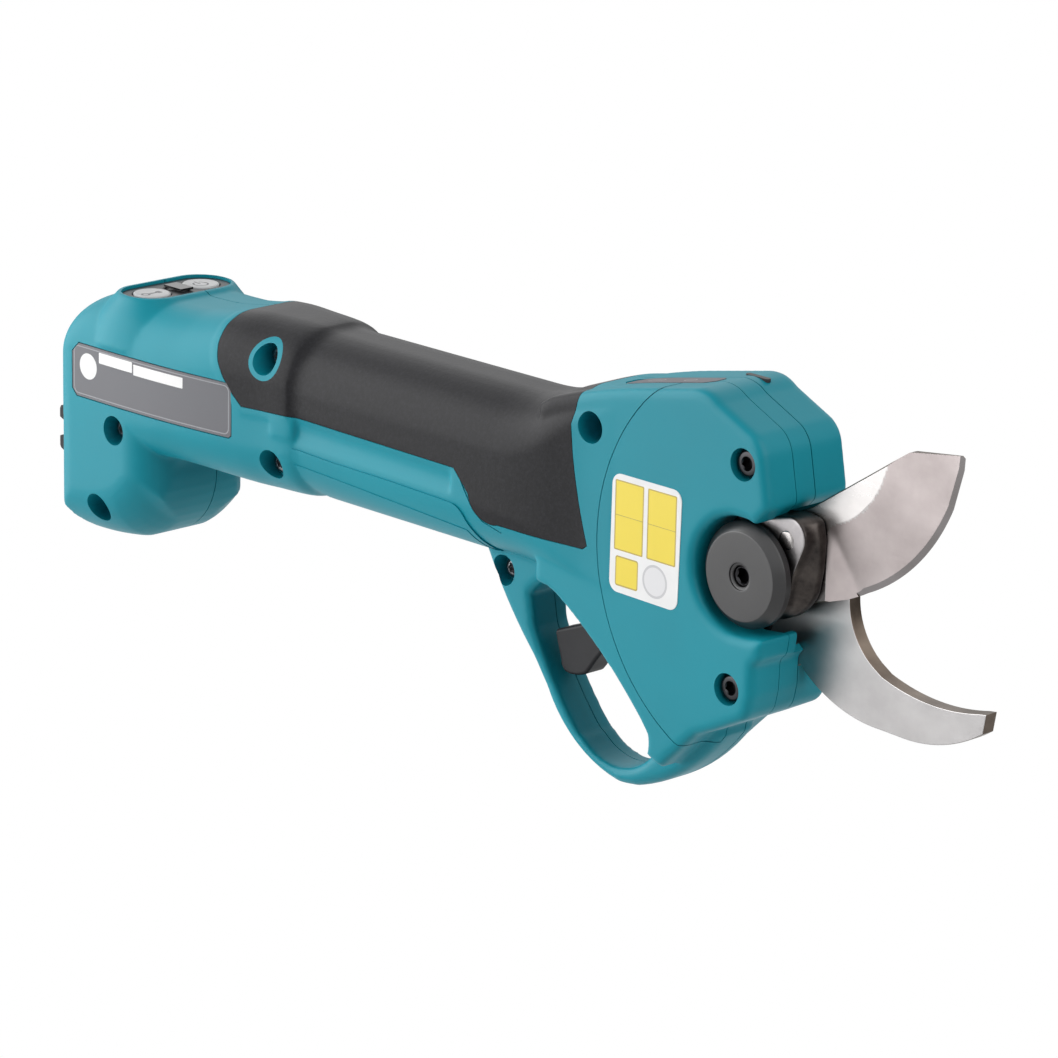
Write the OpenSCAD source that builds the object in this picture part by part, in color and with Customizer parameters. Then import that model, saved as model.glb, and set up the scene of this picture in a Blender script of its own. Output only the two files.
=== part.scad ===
// Battery electric pruner: an in-line grip with a slide-on battery seat at its rear, a geared
// head with one driven cutting blade and one fixed hook blade, and a looped trigger guard.
// Frame: origin on the battery seat, +X forward to the blades, +Z up, Y = 0 where the blades pass.

/* [Grip] */
// Width of the grip across the rubber
grip_w = 44; // [40:0.5:48]
// Height of the grip
grip_h = 56; // [52:0.5:60]
// Corner radius of the grip's section
grip_r = 19; // [14:0.5:20]
// Height of the grip's axis above the battery seat's centre
grip_z = 8.5; // [6:0.5:11]
// Sideways place of the body's middle, measured from the blade plane
body_y = -3; // [-5:0.5:-2]
// Distance from the battery seat to the front end of the straight grip
grip_end = 216; // [214:1:218]
// Thickness of the moulded housing wall
wall = 2.5; // [2:0.1:3]
// Thickness of the rubber overmould
rubber_t = 1.5; // [1:0.1:2]

/* [Battery end] */
// Width of the battery end across its flat sides
rear_w = 59; // [56:1:62]
// Height of the battery end's underside, at the foot
foot_bottom = -54; // [-56:1:-52]
// Length of the foot from the battery seat to its front
foot_len = 50; // [48:1:54]
// Height of the button panel's face
panel_z = 35.5; // [35:0.5:37]
// Distance from the battery seat to the button panel's middle
panel_x = 33; // [31:1:35]
// Distance from each button to the panel's middle
button_gap = 11; // [10.5:0.25:12]
// Radius of a round button
button_r = 6.5; // [6:0.25:7]
// Travel of a button
button_travel = 0.8; // [0.5:0.1:1]

/* [Head] */
// Distance from the battery seat to the blade pivot
pivot_x = 319; // [317:1:321]
// Side face of the head on the cover's side
face_y = -21.5; // [-22.5:0.5:-20.5]
// Side face of the head on the far side
back_y = 15.5; // [15:0.5:17]
// Plane where the gear cover meets the right housing
cover_y = -8.5; // [-9.5:0.5:-8.5]
// Radius of the round opening in the cover, about the pivot
mouth_r = 19; // [18.5:0.25:20]
// Distance of each cover bolt above and below the pivot
bolt_dz = 36.2; // [35:0.1:37.5]
// Width of the trigger guard on the cover's side of the blade plane
guard_right = 11.5; // [10:0.5:13]
// Width of the trigger guard on the far side of the blade plane
guard_left = 6; // [5:0.5:9]

/* [Blades and pivot] */
// Thickness of the cutting blade
blade_t = 4; // [3.5:0.1:4.2]
// Thickness of the hook blade
hook_t = 5; // [4.5:0.1:5]
// Running gap between the two blades
blade_gap = 0.3; // [0.3:0.05:0.4]
// Radius of the pivot bolt's shank
pivot_r = 6; // [5.5:0.1:6.2]
// Radius of the pivot bush, outside
bush_r = 8; // [7.6:0.1:8.4]
// Radius of the round pivot cap
cap_r = 17; // [16:0.25:17.5]
// Outer face of the pivot cap
cap_face_y = -20; // [-20.5:0.25:-19.5]
// Thickness of the pivot cap
cap_t = 6.4; // [6:0.1:6.8]

/* [Drive] */
// Tooth module of the blade's gear and its pinion
gear_m = 1.5; // [1.5:0.05:1.6]
// Tooth module of the bevel gears, at their large end
bevel_m = 1.3333; // [1.3:0.01:1.35]
// Tooth module of the planetary gears
planet_m = 0.6; // [0.58:0.01:0.61]
// Radius of the motor's can
motor_r = 16.2; // [15.5:0.1:16.2]
// Length of the motor's can
motor_len = 56; // [50:1:60]

/* [Trigger] */
// Width of the trigger
trigger_w = 9; // [8:0.5:10]
// Radius of the trigger's pivot pin
trigger_pin_r = 1.5; // [1.3:0.1:1.8]
// Trigger pivot, distance behind the blade pivot
trigger_back = 58; // [57:0.5:59]
// Trigger pivot, distance below the blade pivot
trigger_down = 26; // [25:0.5:27]

/* [Hidden] */
$fn = 64;
hull_fn = 32;
eps = 0.01;
run_gap = 0.3;
fit_gap = 0.03;

// ---- points and outlines -------------------------------------------------------------------

// Points of the arc from a through b to c, n steps
function arc3(a, b, c, n = 10) =
    let (d = 2 * (a.x * (b.y - c.y) + b.x * (c.y - a.y) + c.x * (a.y - b.y)),
         aa = a * a, bb = b * b, cc = c * c,
         m = [(aa * (b.y - c.y) + bb * (c.y - a.y) + cc * (a.y - b.y)) / d,
              (aa * (c.x - b.x) + bb * (a.x - c.x) + cc * (b.x - a.x)) / d],
         r = norm(a - m),
         t0 = atan2(a.y - m.y, a.x - m.x), tb = atan2(b.y - m.y, b.x - m.x),
         t1 = atan2(c.y - m.y, c.x - m.x),
         ccw = ((tb - t0 + 720) % 360) < ((t1 - t0 + 720) % 360),
         sweep = ccw ? (t1 - t0 + 720) % 360 : -((t0 - t1 + 720) % 360))
    [for (i = [0 : n]) m + r * [cos(t0 + sweep * i / n), sin(t0 + sweep * i / n)]];

function shift(pts, v) = [for (p = pts) p + v];

// Outline of a rectangle with round corners, n chords to a corner
function rounded(w, h, r, n = 7) =
    [for (q = [0 : 3], i = [0 : n])
        let (a = 90 * q + 90 * i / n, sx = q % 3 == 0 ? 1 : -1, sy = q < 2 ? 1 : -1)
        [sx * (w / 2 - r) + r * cos(a), sy * (h / 2 - r) + r * sin(a)]];

// A flat outline in X and Z, given its thickness from y0 to y1
module side_prism(y0, y1)
    translate([0, y1, 0]) rotate([90, 0, 0]) linear_extrude(y1 - y0) children();

// A section in Y and Z, given its length from x0 to x1
module section_prism(x0, x1)
    translate([x0, 0, 0]) rotate([90, 0, 90]) linear_extrude(x1 - x0) children();

// A cylinder along Y from y0 to y1 at the place [x, z]
module rod_y(p, r, y0, y1, fn = $fn)
    translate([p.x, y1, p.y]) rotate([90, 0, 0]) cylinder(r = r, h = y1 - y0, $fn = fn);

// A cylinder along X from x0 to x1 on the drive's axis
module rod_x(r, x0, x1, dy = 0, dz = 0)
    translate([x0, body_y + dy, grip_z + dz]) rotate([0, 90, 0]) cylinder(r = r, h = x1 - x0);

pivot = [pivot_x, 0];

// ---- the body's outer form, inset by d -----------------------------------------------------

rear_top = 30;
rear_low = -19;
neck_x = 100;
grip_top = grip_z + grip_h / 2;
grip_low = grip_z - grip_h / 2;
head_x = pivot_x - 76;
head_w = back_y - face_y;
head_cy = (back_y + face_y) / 2;

module body_slab(x, t, w, z0, z1, r, cy = body_y)
    section_prism(x, x + t) translate([cy, (z0 + z1) / 2]) polygon(rounded(w, z1 - z0, r));

module rear_form(d) hull() {
    body_slab(d, 1, rear_w - 2 * d, rear_low + 4 + d, 16 - d, 5);
    body_slab(12 + d / 2, 1, rear_w - 2 * d, rear_low + d, rear_top - d, 12);
    body_slab(neck_x, 1, grip_w - 2 * d, grip_low + d, grip_top - d, grip_r - d);
}

module grip_form(d)
    body_slab(neck_x + 1, grip_end - neck_x - 2, grip_w - 2 * d, grip_low + d, grip_top - d, grip_r - d);

module front_form(d) hull() {
    body_slab(grip_end - 1, 1, grip_w - 2 * d, grip_low + d, grip_top - d, grip_r - d);
    body_slab(head_x + 9, 1, head_w - 2 * d, grip_low - 4 + d, grip_top + 8.5 - d, 8, head_cy);
}

foot_outline = concat(
    [[0, 0]], arc3([0, foot_bottom + 18], [4.5, foot_bottom + 5.5], [17, foot_bottom]),
    arc3([28, foot_bottom], [foot_len - 8, foot_bottom + 8], [foot_len, foot_bottom + 26]),
    arc3([foot_len, rear_low - 4], [foot_len + 2.5, rear_low + 0.5], [foot_len + 9, rear_low + 2], 4),
    [[foot_len + 9, 0]]);

foot_plan = concat(
    [[-5, -rear_w / 2]],
    arc3([foot_len - 10, -rear_w / 2], [foot_len - 3, -rear_w / 2 + 3], [foot_len, -rear_w / 2 + 10], 6),
    arc3([foot_len + 4, -12], [foot_len + 8, 0], [foot_len + 4, 12], 6),
    arc3([foot_len, rear_w / 2 - 16], [foot_len - 5, rear_w / 2 - 5], [foot_len - 16, rear_w / 2], 6),
    [[-5, rear_w / 2]]);

module foot_form() intersection() {
    side_prism(body_y - rear_w / 2, body_y + rear_w / 2) polygon(foot_outline);
    section_prism(-1, foot_len + 12)
        translate([body_y, foot_bottom / 2 + 10]) polygon(rounded(rear_w, 20 - foot_bottom, 10));
    translate([0, body_y, foot_bottom - 1]) linear_extrude(60 - foot_bottom) polygon(foot_plan);
}

boss_r = button_r + 3.2;
module stadium(r) {
    for (s = [-1, 1]) translate([0, s * button_gap]) circle(r);
    square([2 * r, 2 * button_gap], center = true);
}

module panel_boss() translate([panel_x, body_y, 0]) hull() {
    translate([0, 0, panel_z]) linear_extrude(1) for (s = [-1, 1])
        translate([0, s * button_gap]) circle(boss_r + 1.6, $fn = hull_fn);
    translate([0, 0, 16]) linear_extrude(1) square([46, rear_w - 8], center = true);
}

// ---- the head's outline --------------------------------------------------------------------

head_outline = shift(concat(
    [[-89, 37]], arc3([-84, 40], [-72, 44], [-42, 51.5]), arc3([-22, 55.5], [-16, 55.8], [-10, 53]),
    arc3([5, 46], [8, 43], [9.5, 39.5]), [[12, 26], [11.5, -16.5], [10.3, -24.5], [7.5, -27.3], [7.3, -37]],
    arc3([6.6, -40], [5.8, -43], [3.8, -45.7], 4), [[-8.4, -52], [-16, -55.5], [-31, -70], [-38, -67]],
    arc3([-38, -62], [-56, -45], [-76, -27.5]), [[-89, -22]]), pivot);

seam = shift(arc3([-24, 60], [-60, -4], [-23, -60], 24), pivot);
cover_region = concat(seam, [[pivot_x + 20, -60], [pivot_x + 20, 60]]);

// The open mouth in front of the pivot, grown by g
lip_slope = 31;
lower_slope = 6;
module mouth(g = 0) {
    translate(pivot) circle(mouth_r + g);
    translate(pivot) rotate(lip_slope) translate([0, -mouth_r - g]) square([40, 2 * (mouth_r + g)]);
    translate(pivot) rotate(lower_slope) translate([0, -mouth_r - g]) square([40, mouth_r + g]);
}

module head_form(y0, y1, d = 0)
    side_prism(y0, y1) offset(delta = -d) polygon(head_outline);

// The small bevel along the head's upper and front edges, at the side plane y
bevel = 2.5;
head_edges = [[[-45, 50.5], [-18, 55.9]], [[-16, 55.8], [7, 45]], [[9.5, 42], [12.2, 22]]];
module head_bevels(y) for (e = head_edges) edge_cut(e[0] + pivot, e[1] + pivot, y, bevel);

// Cuts a 45 degree bevel of size b along the outline's edge from a to c, at the side plane y
module edge_cut(a, c, y, b) {
    len = norm(c - a);
    dir = y < 0 ? 1 : -1;
    translate([a.x, y, a.y]) rotate([0, -atan2(c.y - a.y, c.x - a.x), 0])
        rotate([dir * 45, 0, 0]) translate([-8, -30, -b / sqrt(2)]) cube([len + 16, 60, 20]);
}

guard_outer = concat(
    arc3([pivot_x - 123, -17], [pivot_x - 113.3, -33.5], [pivot_x - 99, -51.3]),
    arc3([pivot_x - 92.5, -60.2], [pivot_x - 80, -75], [pivot_x - 59, -83.8]),
    arc3([pivot_x - 52, -83], [pivot_x - 38, -77], [pivot_x - 15, -57]),
    [[pivot_x - 15, -50], [pivot_x - 60, -17]]);
guard_hole = concat(
    arc3([pivot_x - 101, -31], [pivot_x - 92, -24.5], [pivot_x - 77, -27.5], 8),
    arc3([pivot_x - 76, -28], [pivot_x - 62, -38], [pivot_x - 40, -59]),
    arc3([pivot_x - 38.5, -61], [pivot_x - 38.5, -65.3], [pivot_x - 43, -70], 6),
    arc3([pivot_x - 46, -73], [pivot_x - 61, -79.6], [pivot_x - 76, -74]),
    arc3([pivot_x - 78, -73], [pivot_x - 90, -58], [pivot_x - 99, -42]));

module guard_form(y0, y1) side_prism(y0, y1) difference() {
    polygon(guard_outer);
    polygon(guard_hole);
}

// ---- screws and their places ---------------------------------------------------------------

screw_at = [[33, -11.4], [25, -41], [104, 27], [108, -8.6], [pivot_x - 65.5, 34], [pivot_x - 111.8, -24.8]];
screw_r = 2;
boss_r_left = screw_r + 2.6;
// Half the width of the grip at the edge of a boss of radius b at height z, d below the skin
function grip_half(z, d, b = 0) = grip_w / 2 - grip_r
    + sqrt(pow(grip_r - d, 2) - pow(max(0, abs(z - grip_z) + b - grip_h / 2 + grip_r), 2));
// where each screw's bosses end inside the walls of the two housings
rear_half = rear_w / 2 - wall;
boss_from = [body_y - rear_half, body_y - rear_half, body_y - grip_half(screw_at[2].y, rubber_t + wall / 2),
    body_y - grip_half(screw_at[3].y, rubber_t + wall / 2), face_y + wall];
boss_to = [body_y + rear_half, body_y + rear_half,
    body_y + grip_half(screw_at[2].y, rubber_t + 0.1, boss_r_left),
    body_y + grip_half(screw_at[3].y, rubber_t + 0.1, boss_r_left), back_y - wall];
screw_head_r = 3.8;
screw_head_t = 2.6;
well_r = 5.2;
boss_wall = 1.6;
// where each screw's head sits and its tip ends; the last one is in the solid root of the guard
screw_seat = [-11, -11, -11, -11, -11, body_y - 2];
screw_tip = [10, 10, 10, 10, 10, guard_left - 1.5];

bolt_r = 2.5;
bolt_head_r = 4.3;
bolt_head_t = 4.6;
bolt_seat = face_y + 6.4;
bolt_tip = 9;
bolt_at = [[pivot_x - 0.5, bolt_dz], [pivot_x - 0.5, -bolt_dz]];

trigger_at = [pivot_x - trigger_back, -trigger_down];

module right_side() translate([-50, -100, -150]) cube([600, 100, 300]);
module left_side() translate([-50, 0, -150]) cube([600, 100, 300]);

rubber_outline = concat(
    arc3([88, 60], [82.5, 27], [95, 9.5]), [[113, 9.5], [grip_end - 20, 9]],
    arc3([grip_end - 13, 2], [grip_end - 9, -4], [grip_end, -6]), [[pivot_x - 66, -6]],
    arc3([pivot_x - 68, 10], [pivot_x - 70, 20], [pivot_x - 71, 27], 4),
    [[pivot_x - 72, 38], [pivot_x - 60, 60]]);

module rubber_region() side_prism(-60, 60) polygon(rubber_outline);

module grip_core(d) {
    rear_form(d);
    grip_form(d);
    front_form(d);
}

module rubber_skin() difference() {
    intersection() { rubber_region(); grip_core(0); }
    grip_core(rubber_t);
}

cavity_d = rubber_t + wall;

// The hollow inside both housings
module hollow() {
    body_slab(wall, neck_x + 1 - wall, grip_w - 2 * cavity_d, rear_low + wall + 1.5, 12, 8);
    body_slab(12 + wall, neck_x - 11 - wall, grip_w - 2 * cavity_d, rear_low + wall + 1.5, 25, 8);
    body_slab(neck_x, grip_end + 12 - neck_x, grip_w - 2 * cavity_d, grip_low + cavity_d,
        grip_top - cavity_d, grip_r - cavity_d);
    body_slab(grip_end + 11, head_x - grip_end - 5, 2 * motor_r + 0.4, grip_low + cavity_d,
        grip_top - cavity_d, grip_r - cavity_d);
    side_prism(body_y - rear_w / 2 + wall, body_y + rear_w / 2 - wall)
        translate([wall + 8, foot_bottom + wall + 4]) square([foot_len - 22, -foot_bottom - 12]);
}

module body_form() {
    grip_core(0);
    foot_form();
    panel_boss();
}

// The bed that the rubber is moulded into
module rubber_bed() difference() {
    rubber_region();
    grip_core(rubber_t);
}

// ---- housings ------------------------------------------------------------------------------

seat_open_w = 46;
seat_open_z = [-40, 14];

module housing_cuts() {
    hollow();
    rubber_bed();
    // the rear opening that holds the terminal block
    body_slab(-1, wall + 12, seat_open_w, seat_open_z[0], seat_open_z[1], 3);
    // the button panel's pocket and the way down to its board
    translate([panel_x, body_y, panel_z - 1.2]) linear_extrude(10) stadium(boss_r);
    translate([panel_x, body_y, 15]) linear_extrude(30) stadium(button_r + 0.6);
    translate([panel_x, body_y, 20]) linear_extrude(board_z + board_t + 0.6 - 20)
        square([board_w + 0.4, board_l + 0.4], center = true);
    indicator_cut();
    trigger_slot();
}

module housing_right() color("#2E8C9B") difference() {
    union() {
        difference() {
            union() {
                intersection() { right_side(); body_form(); }
                difference() {
                    head_form(face_y, 0);
                    head_bevels(face_y);
                }
                guard_form(-guard_right, 0);
            }
            housing_cuts();
            // room for the cover in front of its seam
            side_prism(face_y - 20, cover_y) offset(delta = 0.02) polygon(cover_region);
            head_form(face_y + wall, 10, wall);
            side_prism(face_y - 1, 1) mouth();
            blade_slot();
            plate_bed();
        }
        for (i = [0 : 4]) rod_y(screw_at[i], well_r + boss_wall, boss_from[i], 0);
        for (p = bolt_at) bolt_boss(p, cover_y, 0);
    }
    for (i = [0 : 5]) {
        rod_y(screw_at[i], well_r, -60, screw_seat[i]);
        rod_y(screw_at[i], screw_r, -60, 1);
    }
    for (p = bolt_at) rod_y(p, bolt_r, -60, 1);
    trigger_pin_hole();
}

// Room below the mouth for the cutting blade's root as it closes
module blade_slot() side_prism(blade_y[0] - 0.6, 1)
    translate([pivot_x + 6, -28]) square([20, 13]);

// A cover bolt's boss from y0 to y1, with the rib that carries it from the head's front wall
module bolt_boss(p, y0, y1) {
    rod_y(p, bolt_r + 3, y0, y1);
    side_prism(y0, y1) intersection() {
        translate([p.x, p.y - 1.5]) square([20, 3]);
        offset(delta = -1) polygon(head_outline);
    }
}

module housing_left() color("#2E8C9B") difference() {
    union() {
        difference() {
            union() {
                intersection() { left_side(); body_form(); }
                difference() {
                    head_form(0, back_y);
                    head_bevels(back_y);
                }
                guard_form(0, guard_left);
            }
            housing_cuts();
            head_form(-1, back_y - wall, wall);
            side_prism(-1, back_y - wall) mouth();
            side_prism(back_y - wall - 1, back_y + 1) mouth(-6);
        }
        for (i = [0 : 4]) rod_y(screw_at[i], boss_r_left, 0, boss_to[i]);
        for (p = bolt_at) bolt_boss(p, 0, back_y - wall);
        for (p = hook_screw_at) rod_y(p, hook_head_r + 1, hook_y[1], back_y - wall);
        // post that the trigger's switch sits on
        rod_y(switch_at, 3, trigger_mid + switch_size.y / 2, back_y - wall);
    }
    for (i = [0 : 5]) rod_y(screw_at[i], screw_r, -1, screw_tip[i] + 0.5);
    for (p = bolt_at) rod_y(p, bolt_r, -1, bolt_tip + 0.5);
    for (p = hook_screw_at) {
        rod_y(p, hook_screw_r, -1, back_y - wall - 1.5);
        rod_y(p, hook_head_r + 0.1, -1, hook_y[1] + hook_head_t + 0.1);
    }
    // bed of the hook blade's tang
    side_prism(-1, hook_y[1]) offset(delta = 0.1) polygon(hook_outline);
    trigger_pin_hole();
}

module cover_block(d) intersection() {
    head_form(face_y + d, cover_y + (d > 0 ? 1 : 0), d);
    side_prism(face_y - 1, cover_y + 1) offset(delta = d > 0 ? 1 : 0) polygon(cover_region);
}

module gear_cover() color("#2E8C9B") difference() {
    union() {
        difference() {
            cover_block(0);
            head_bevels(face_y);
            difference() {
                cover_block(wall);
                side_prism(face_y, cover_y + 2) mouth(wall);
            }
            indicator_cut();
        }
        for (p = bolt_at) {
            rod_y(p, well_r + boss_wall, face_y + wall, cover_y);
            bolt_boss(p, face_y + wall, cover_y);
        }
        rod_y(pinion_at, bearing_r + 2, face_y + wall, pinion_y[0]);
    }
    side_prism(face_y - 1, cover_y + 2) mouth();
    for (p = bolt_at) {
        rod_y(p, well_r, face_y - 1, bolt_seat);
        rod_y(p, bolt_r, face_y, cover_y + 1);
    }
    // seat of the near pinion bearing
    rod_y(pinion_at, bearing_r + fit_gap, bearing_near[0], pinion_y[0] + 1);
}

module grip_rubber_right() color("#3A3A3D") difference() {
    intersection() { rubber_skin(); right_side(); }
    for (i = [2, 4]) rod_y(screw_at[i], well_r + 2, -60, 1);
}

module grip_rubber_left() color("#3A3A3D")
    intersection() { rubber_skin(); left_side(); }

// ---- plates, panel and buttons -------------------------------------------------------------

plate_t = 0.8;
plate_outline = [[11, 0], [11, 12.5], [14.5, 16], [88, 16], [89.5, 14.5], [89.5, -2.5], [14, -2.5]];

module plate_prism() side_prism(-60, 0) polygon(plate_outline);

// The recess that the nameplate lies in
module plate_bed() difference() {
    plate_prism();
    rear_form(plate_t);
}

module nameplate() color("#4A4B4E") difference() {
    intersection() { plate_prism(); rear_form(0); }
    rear_form(plate_t);
}

sticker_t = 0.3;
sticker_w = 30;
sticker_h = 38.5;
module side_sticker() color("#F2F2F0")
    side_prism(face_y - sticker_t, face_y)
        translate([pivot_x - 39, 3]) polygon(rounded(sticker_w, sticker_h, 3));

button_low = panel_z - 3.4;
button_top = panel_z + 0.4;
function button_xy(s) = [panel_x, body_y + s * button_gap];

module control_panel() color("#1B1B1D") translate([0, 0, panel_z - 1.2]) difference() {
    linear_extrude(1.2) translate([panel_x, body_y]) stadium(boss_r - 0.1);
    for (s = [-1, 1]) translate(button_xy(s)) translate([0, 0, -1]) cylinder(r = button_r + run_gap, h = 4);
    translate([panel_x, body_y, 0.4]) linear_extrude(3) square([9, 5.6], center = true);
}

module display_window() color("#101214")
    translate([panel_x, body_y, panel_z - 0.8]) linear_extrude(0.8) square([9, 5.6], center = true);

module button(s) translate(button_xy(s)) {
    translate([0, 0, button_low]) cylinder(r = button_r, h = button_top - button_low);
    translate([0, 0, button_low - 2]) cylinder(r = 1.5, h = 2 + eps);
}
module power_button() color("#C9CACC") button(1);
module mode_button() color("#C9CACC") button(-1);

board_t = 1.6;
switch_h = 2.6;
board_z = button_low - 2 - run_gap - button_travel - switch_h - board_t;
board_w = 16;
board_l = 36;
module panel_board() color("#1F5E3A") translate([panel_x, body_y, board_z])
    linear_extrude(board_t) square([board_w, board_l], center = true);
module button_switches() color("#2A2A2C") for (s = [-1, 1]) translate(button_xy(s)) {
    translate([0, 0, board_z + board_t]) linear_extrude(switch_h) square([6, 6], center = true);
}

// The status strip let into the head's upper edge, on the cover's side
strip = [[-62, 47.2], [-24, 55.5]];
strip_w = 9;
strip_y = -6.5;
strip_t = 1;
module strip_place() {
    a = strip[0] + pivot;
    c = strip[1] + pivot;
    translate([a.x, strip_y, a.y]) rotate([0, -atan2(c.y - a.y, c.x - a.x), 0]) children();
}
strip_len = norm(strip[1] - strip[0]);
module indicator_cut() strip_place()
    translate([0, -strip_w / 2, -strip_t]) cube([strip_len, strip_w, 6]);
module indicator_panel() color("#4C4D52") strip_place()
    translate([0, -strip_w / 2, -strip_t]) difference() {
        cube([strip_len, strip_w, strip_t - 0.1]);
        translate([strip_len - 8, strip_w / 2 - 2, 0.3]) cube([5, 4, 3]);
    }
module indicator_lens() color("#B9D8C0") strip_place()
    translate([strip_len - 8, -2, 0.3 - strip_t]) cube([5, 4, strip_t - 0.3]);

// ---- battery end ---------------------------------------------------------------------------

block_gap = 0.1;
rail_out = 8;
module terminal_block() color("#232326") {
    difference() {
        body_slab(0, 9, seat_open_w - 2 * block_gap, seat_open_z[0] + block_gap,
            seat_open_z[1] - block_gap, 3);
        for (s = [-1, 1]) translate([-1, body_y + s * 9 - 1, -14]) cube([20, 2, 14]);
        translate([-1, body_y - 1, -13]) cube([20, 2, 8]);
    }
    for (s = [-1, 1]) translate([0, body_y + s * (seat_open_w / 2 - 3.5), -36]) {
        translate([-rail_out, -1.5, 0]) cube([rail_out, 3, 42]);
        translate([-rail_out, s > 0 ? 1.5 - eps : -3.5, 0]) cube([2.5, 2 + eps, 42]);
    }
}
module battery_contacts() color("#C8A552") {
    for (s = [-1, 1]) translate([-6, body_y + s * 9 - 0.5, -13]) cube([22, 1, 12]);
    translate([-4, body_y - 0.5, -12]) cube([20, 1, 6]);
}

board_len = 62;
module controller_board() color("#2A2A2E") {
    translate([17, body_y - 17.9, -3]) cube([board_len, 35.8, 2]);
    for (i = [0 : 2]) translate([50 + i * 9, body_y - 14, -1]) cube([6, 28, 6]);
    translate([24, body_y - 12, -1]) cube([18, 24, 10]);
}

wire_r = 1.2;
module wiring() color("#B02A22") {
    for (s = [-1, 0, 1])
        rod_x(wire_r, 75, motor_x[0], s * 4, -7);
    translate([74, body_y - 5.2, -1]) cube([4, 10.4, grip_z - 7 + 2.2]);
}

// ---- blades --------------------------------------------------------------------------------

blade_y = [-blade_gap - blade_t, -blade_gap];
hub_back = blade_y[0];
hub_face = cap_face_y + cap_t + run_gap;
gear_plate = [hub_back - 4.1, hub_back - 0.02];
pin_at = pivot + [10.7, 12.4];
pin_r = 3.2;

blade_outline = shift(concat(
    arc3([-2, 13.5], [-13.5, 0], [-1, -13.5]), [[8, -12]],
    arc3([14, -8.5], [22, -6], [29, -4]), arc3([35.8, -0.8], [58, 16], [68.5, 33]),
    [[72.2, 45.8], [72.5, 50]], arc3([71.5, 50.2], [58, 49], [51.5, 47]),
    arc3([47.5, 45.5], [30, 35.5], [11, 24]), [[0, 18]]), pivot);

module cutting_blade() color("#C4C7CA") difference() {
    side_prism(blade_y[0], blade_y[1]) polygon(blade_outline);
    rod_y(pivot, bush_r, -30, 30);
    rod_y(pin_at, pin_r, -30, 30);
    // ground bevel behind the cutting edge
    side_prism(blade_y[0] - 1, blade_y[0] + blade_t * 0.45) polygon(shift(concat(
        arc3([27, -6], [29, 4], [30.5, 13]), arc3([33, 15], [44, 26], [47.5, 38]),
        [[49, 60], [90, 60], [90, -6]]), pivot));
}

module blade_hub() color("#3B3C3E") difference() {
    union() {
        side_prism(hub_face, gear_plate[0]) hub_outline();
        side_prism(gear_plate[0] - eps, hub_back) difference() {
            hub_outline();
            translate(pivot) circle(hub_ring_r + 0.2);
            translate(pivot + [-36, -30]) square([30, 60]);
        }
    }
    rod_y(pivot, bush_r, -30, 30);
    rod_y(pin_at, pin_r, -30, 30);
}
hub_ring_r = 15;
module hub_outline() {
    translate(pivot) circle(16.4);
    polygon(shift(concat(arc3([-6, 15], [3, 18.6], [12, 20.5], 6), arc3([13, 20.3], [19.5, 14], [21.3, 4]),
        arc3([20.5, 0], [16, -8], [6, -14.5], 6)), pivot));
}

module hub_pin() color("#9A9CA0") rod_y(pin_at, pin_r - 0.01, hub_face - 0.1, blade_y[1]);

// Spur tooth outline: the involute flank is drawn as a few chords
function inv(r, rb) = r <= rb ? 0 : let (t = acos(rb / r)) tan(t) * 180 / PI - t;
function tooth_half(r, z, m, back) =
    let (rp = z * m / 2, rb = rp * cos(20))
    90 / z - back / rp * 90 / PI + inv(rp, rb) - inv(max(r, rb), rb);
function gear_points(z, m, add, ded, back, a0 = 0, n = 4) =
    let (rp = z * m / 2, r0 = rp - ded, r1 = rp + add)
    [for (i = [0 : z - 1]) let (c = a0 + i * 360 / z)
        each concat(
            [for (k = [0 : n]) let (r = r0 + (r1 - r0) * k / n) r * [cos(c - tooth_half(r, z, m, back)),
                sin(c - tooth_half(r, z, m, back))]],
            [for (k = [n : -1 : 0]) let (r = r0 + (r1 - r0) * k / n) r * [cos(c + tooth_half(r, z, m, back)),
                sin(c + tooth_half(r, z, m, back))]])];

sector_z = 32;
pinion_z = 12;
sector_r = sector_z * gear_m / 2;
pinion_r = pinion_z * gear_m / 2;
drive_dx = sqrt(pow(sector_r + pinion_r, 2) - grip_z * grip_z);
pinion_at = [pivot_x - drive_dx, grip_z];
mesh_angle = atan2(grip_z, -drive_dx);
tooth_add = 0.8;
tooth_ded = 1.1;
backlash = 0.16;

module sector_gear() color("#8F9296") difference() {
    side_prism(gear_plate[0], gear_plate[1]) {
        translate(pivot) circle(hub_ring_r);
        intersection() {
            translate(pivot) polygon(gear_points(sector_z, gear_m, tooth_add * gear_m,
                tooth_ded * gear_m, backlash, mesh_angle));
            translate(pivot) polygon([[0, 0], 60 * [cos(mesh_angle - 24), sin(mesh_angle - 24)],
                60 * [cos(mesh_angle + 30), sin(mesh_angle + 30)],
                60 * [cos(mesh_angle + 74), sin(mesh_angle + 74)]]);
        }
    }
    rod_y(pivot, bush_r, -30, 30);
    rod_y(pin_at, pin_r, -30, 30);
}

module pivot_bush() color("#B08D57") difference() {
    rod_y(pivot, bush_r - 0.01, hub_face, blade_y[1]);
    rod_y(pivot, pivot_r + fit_gap, -30, 30);
}

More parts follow.
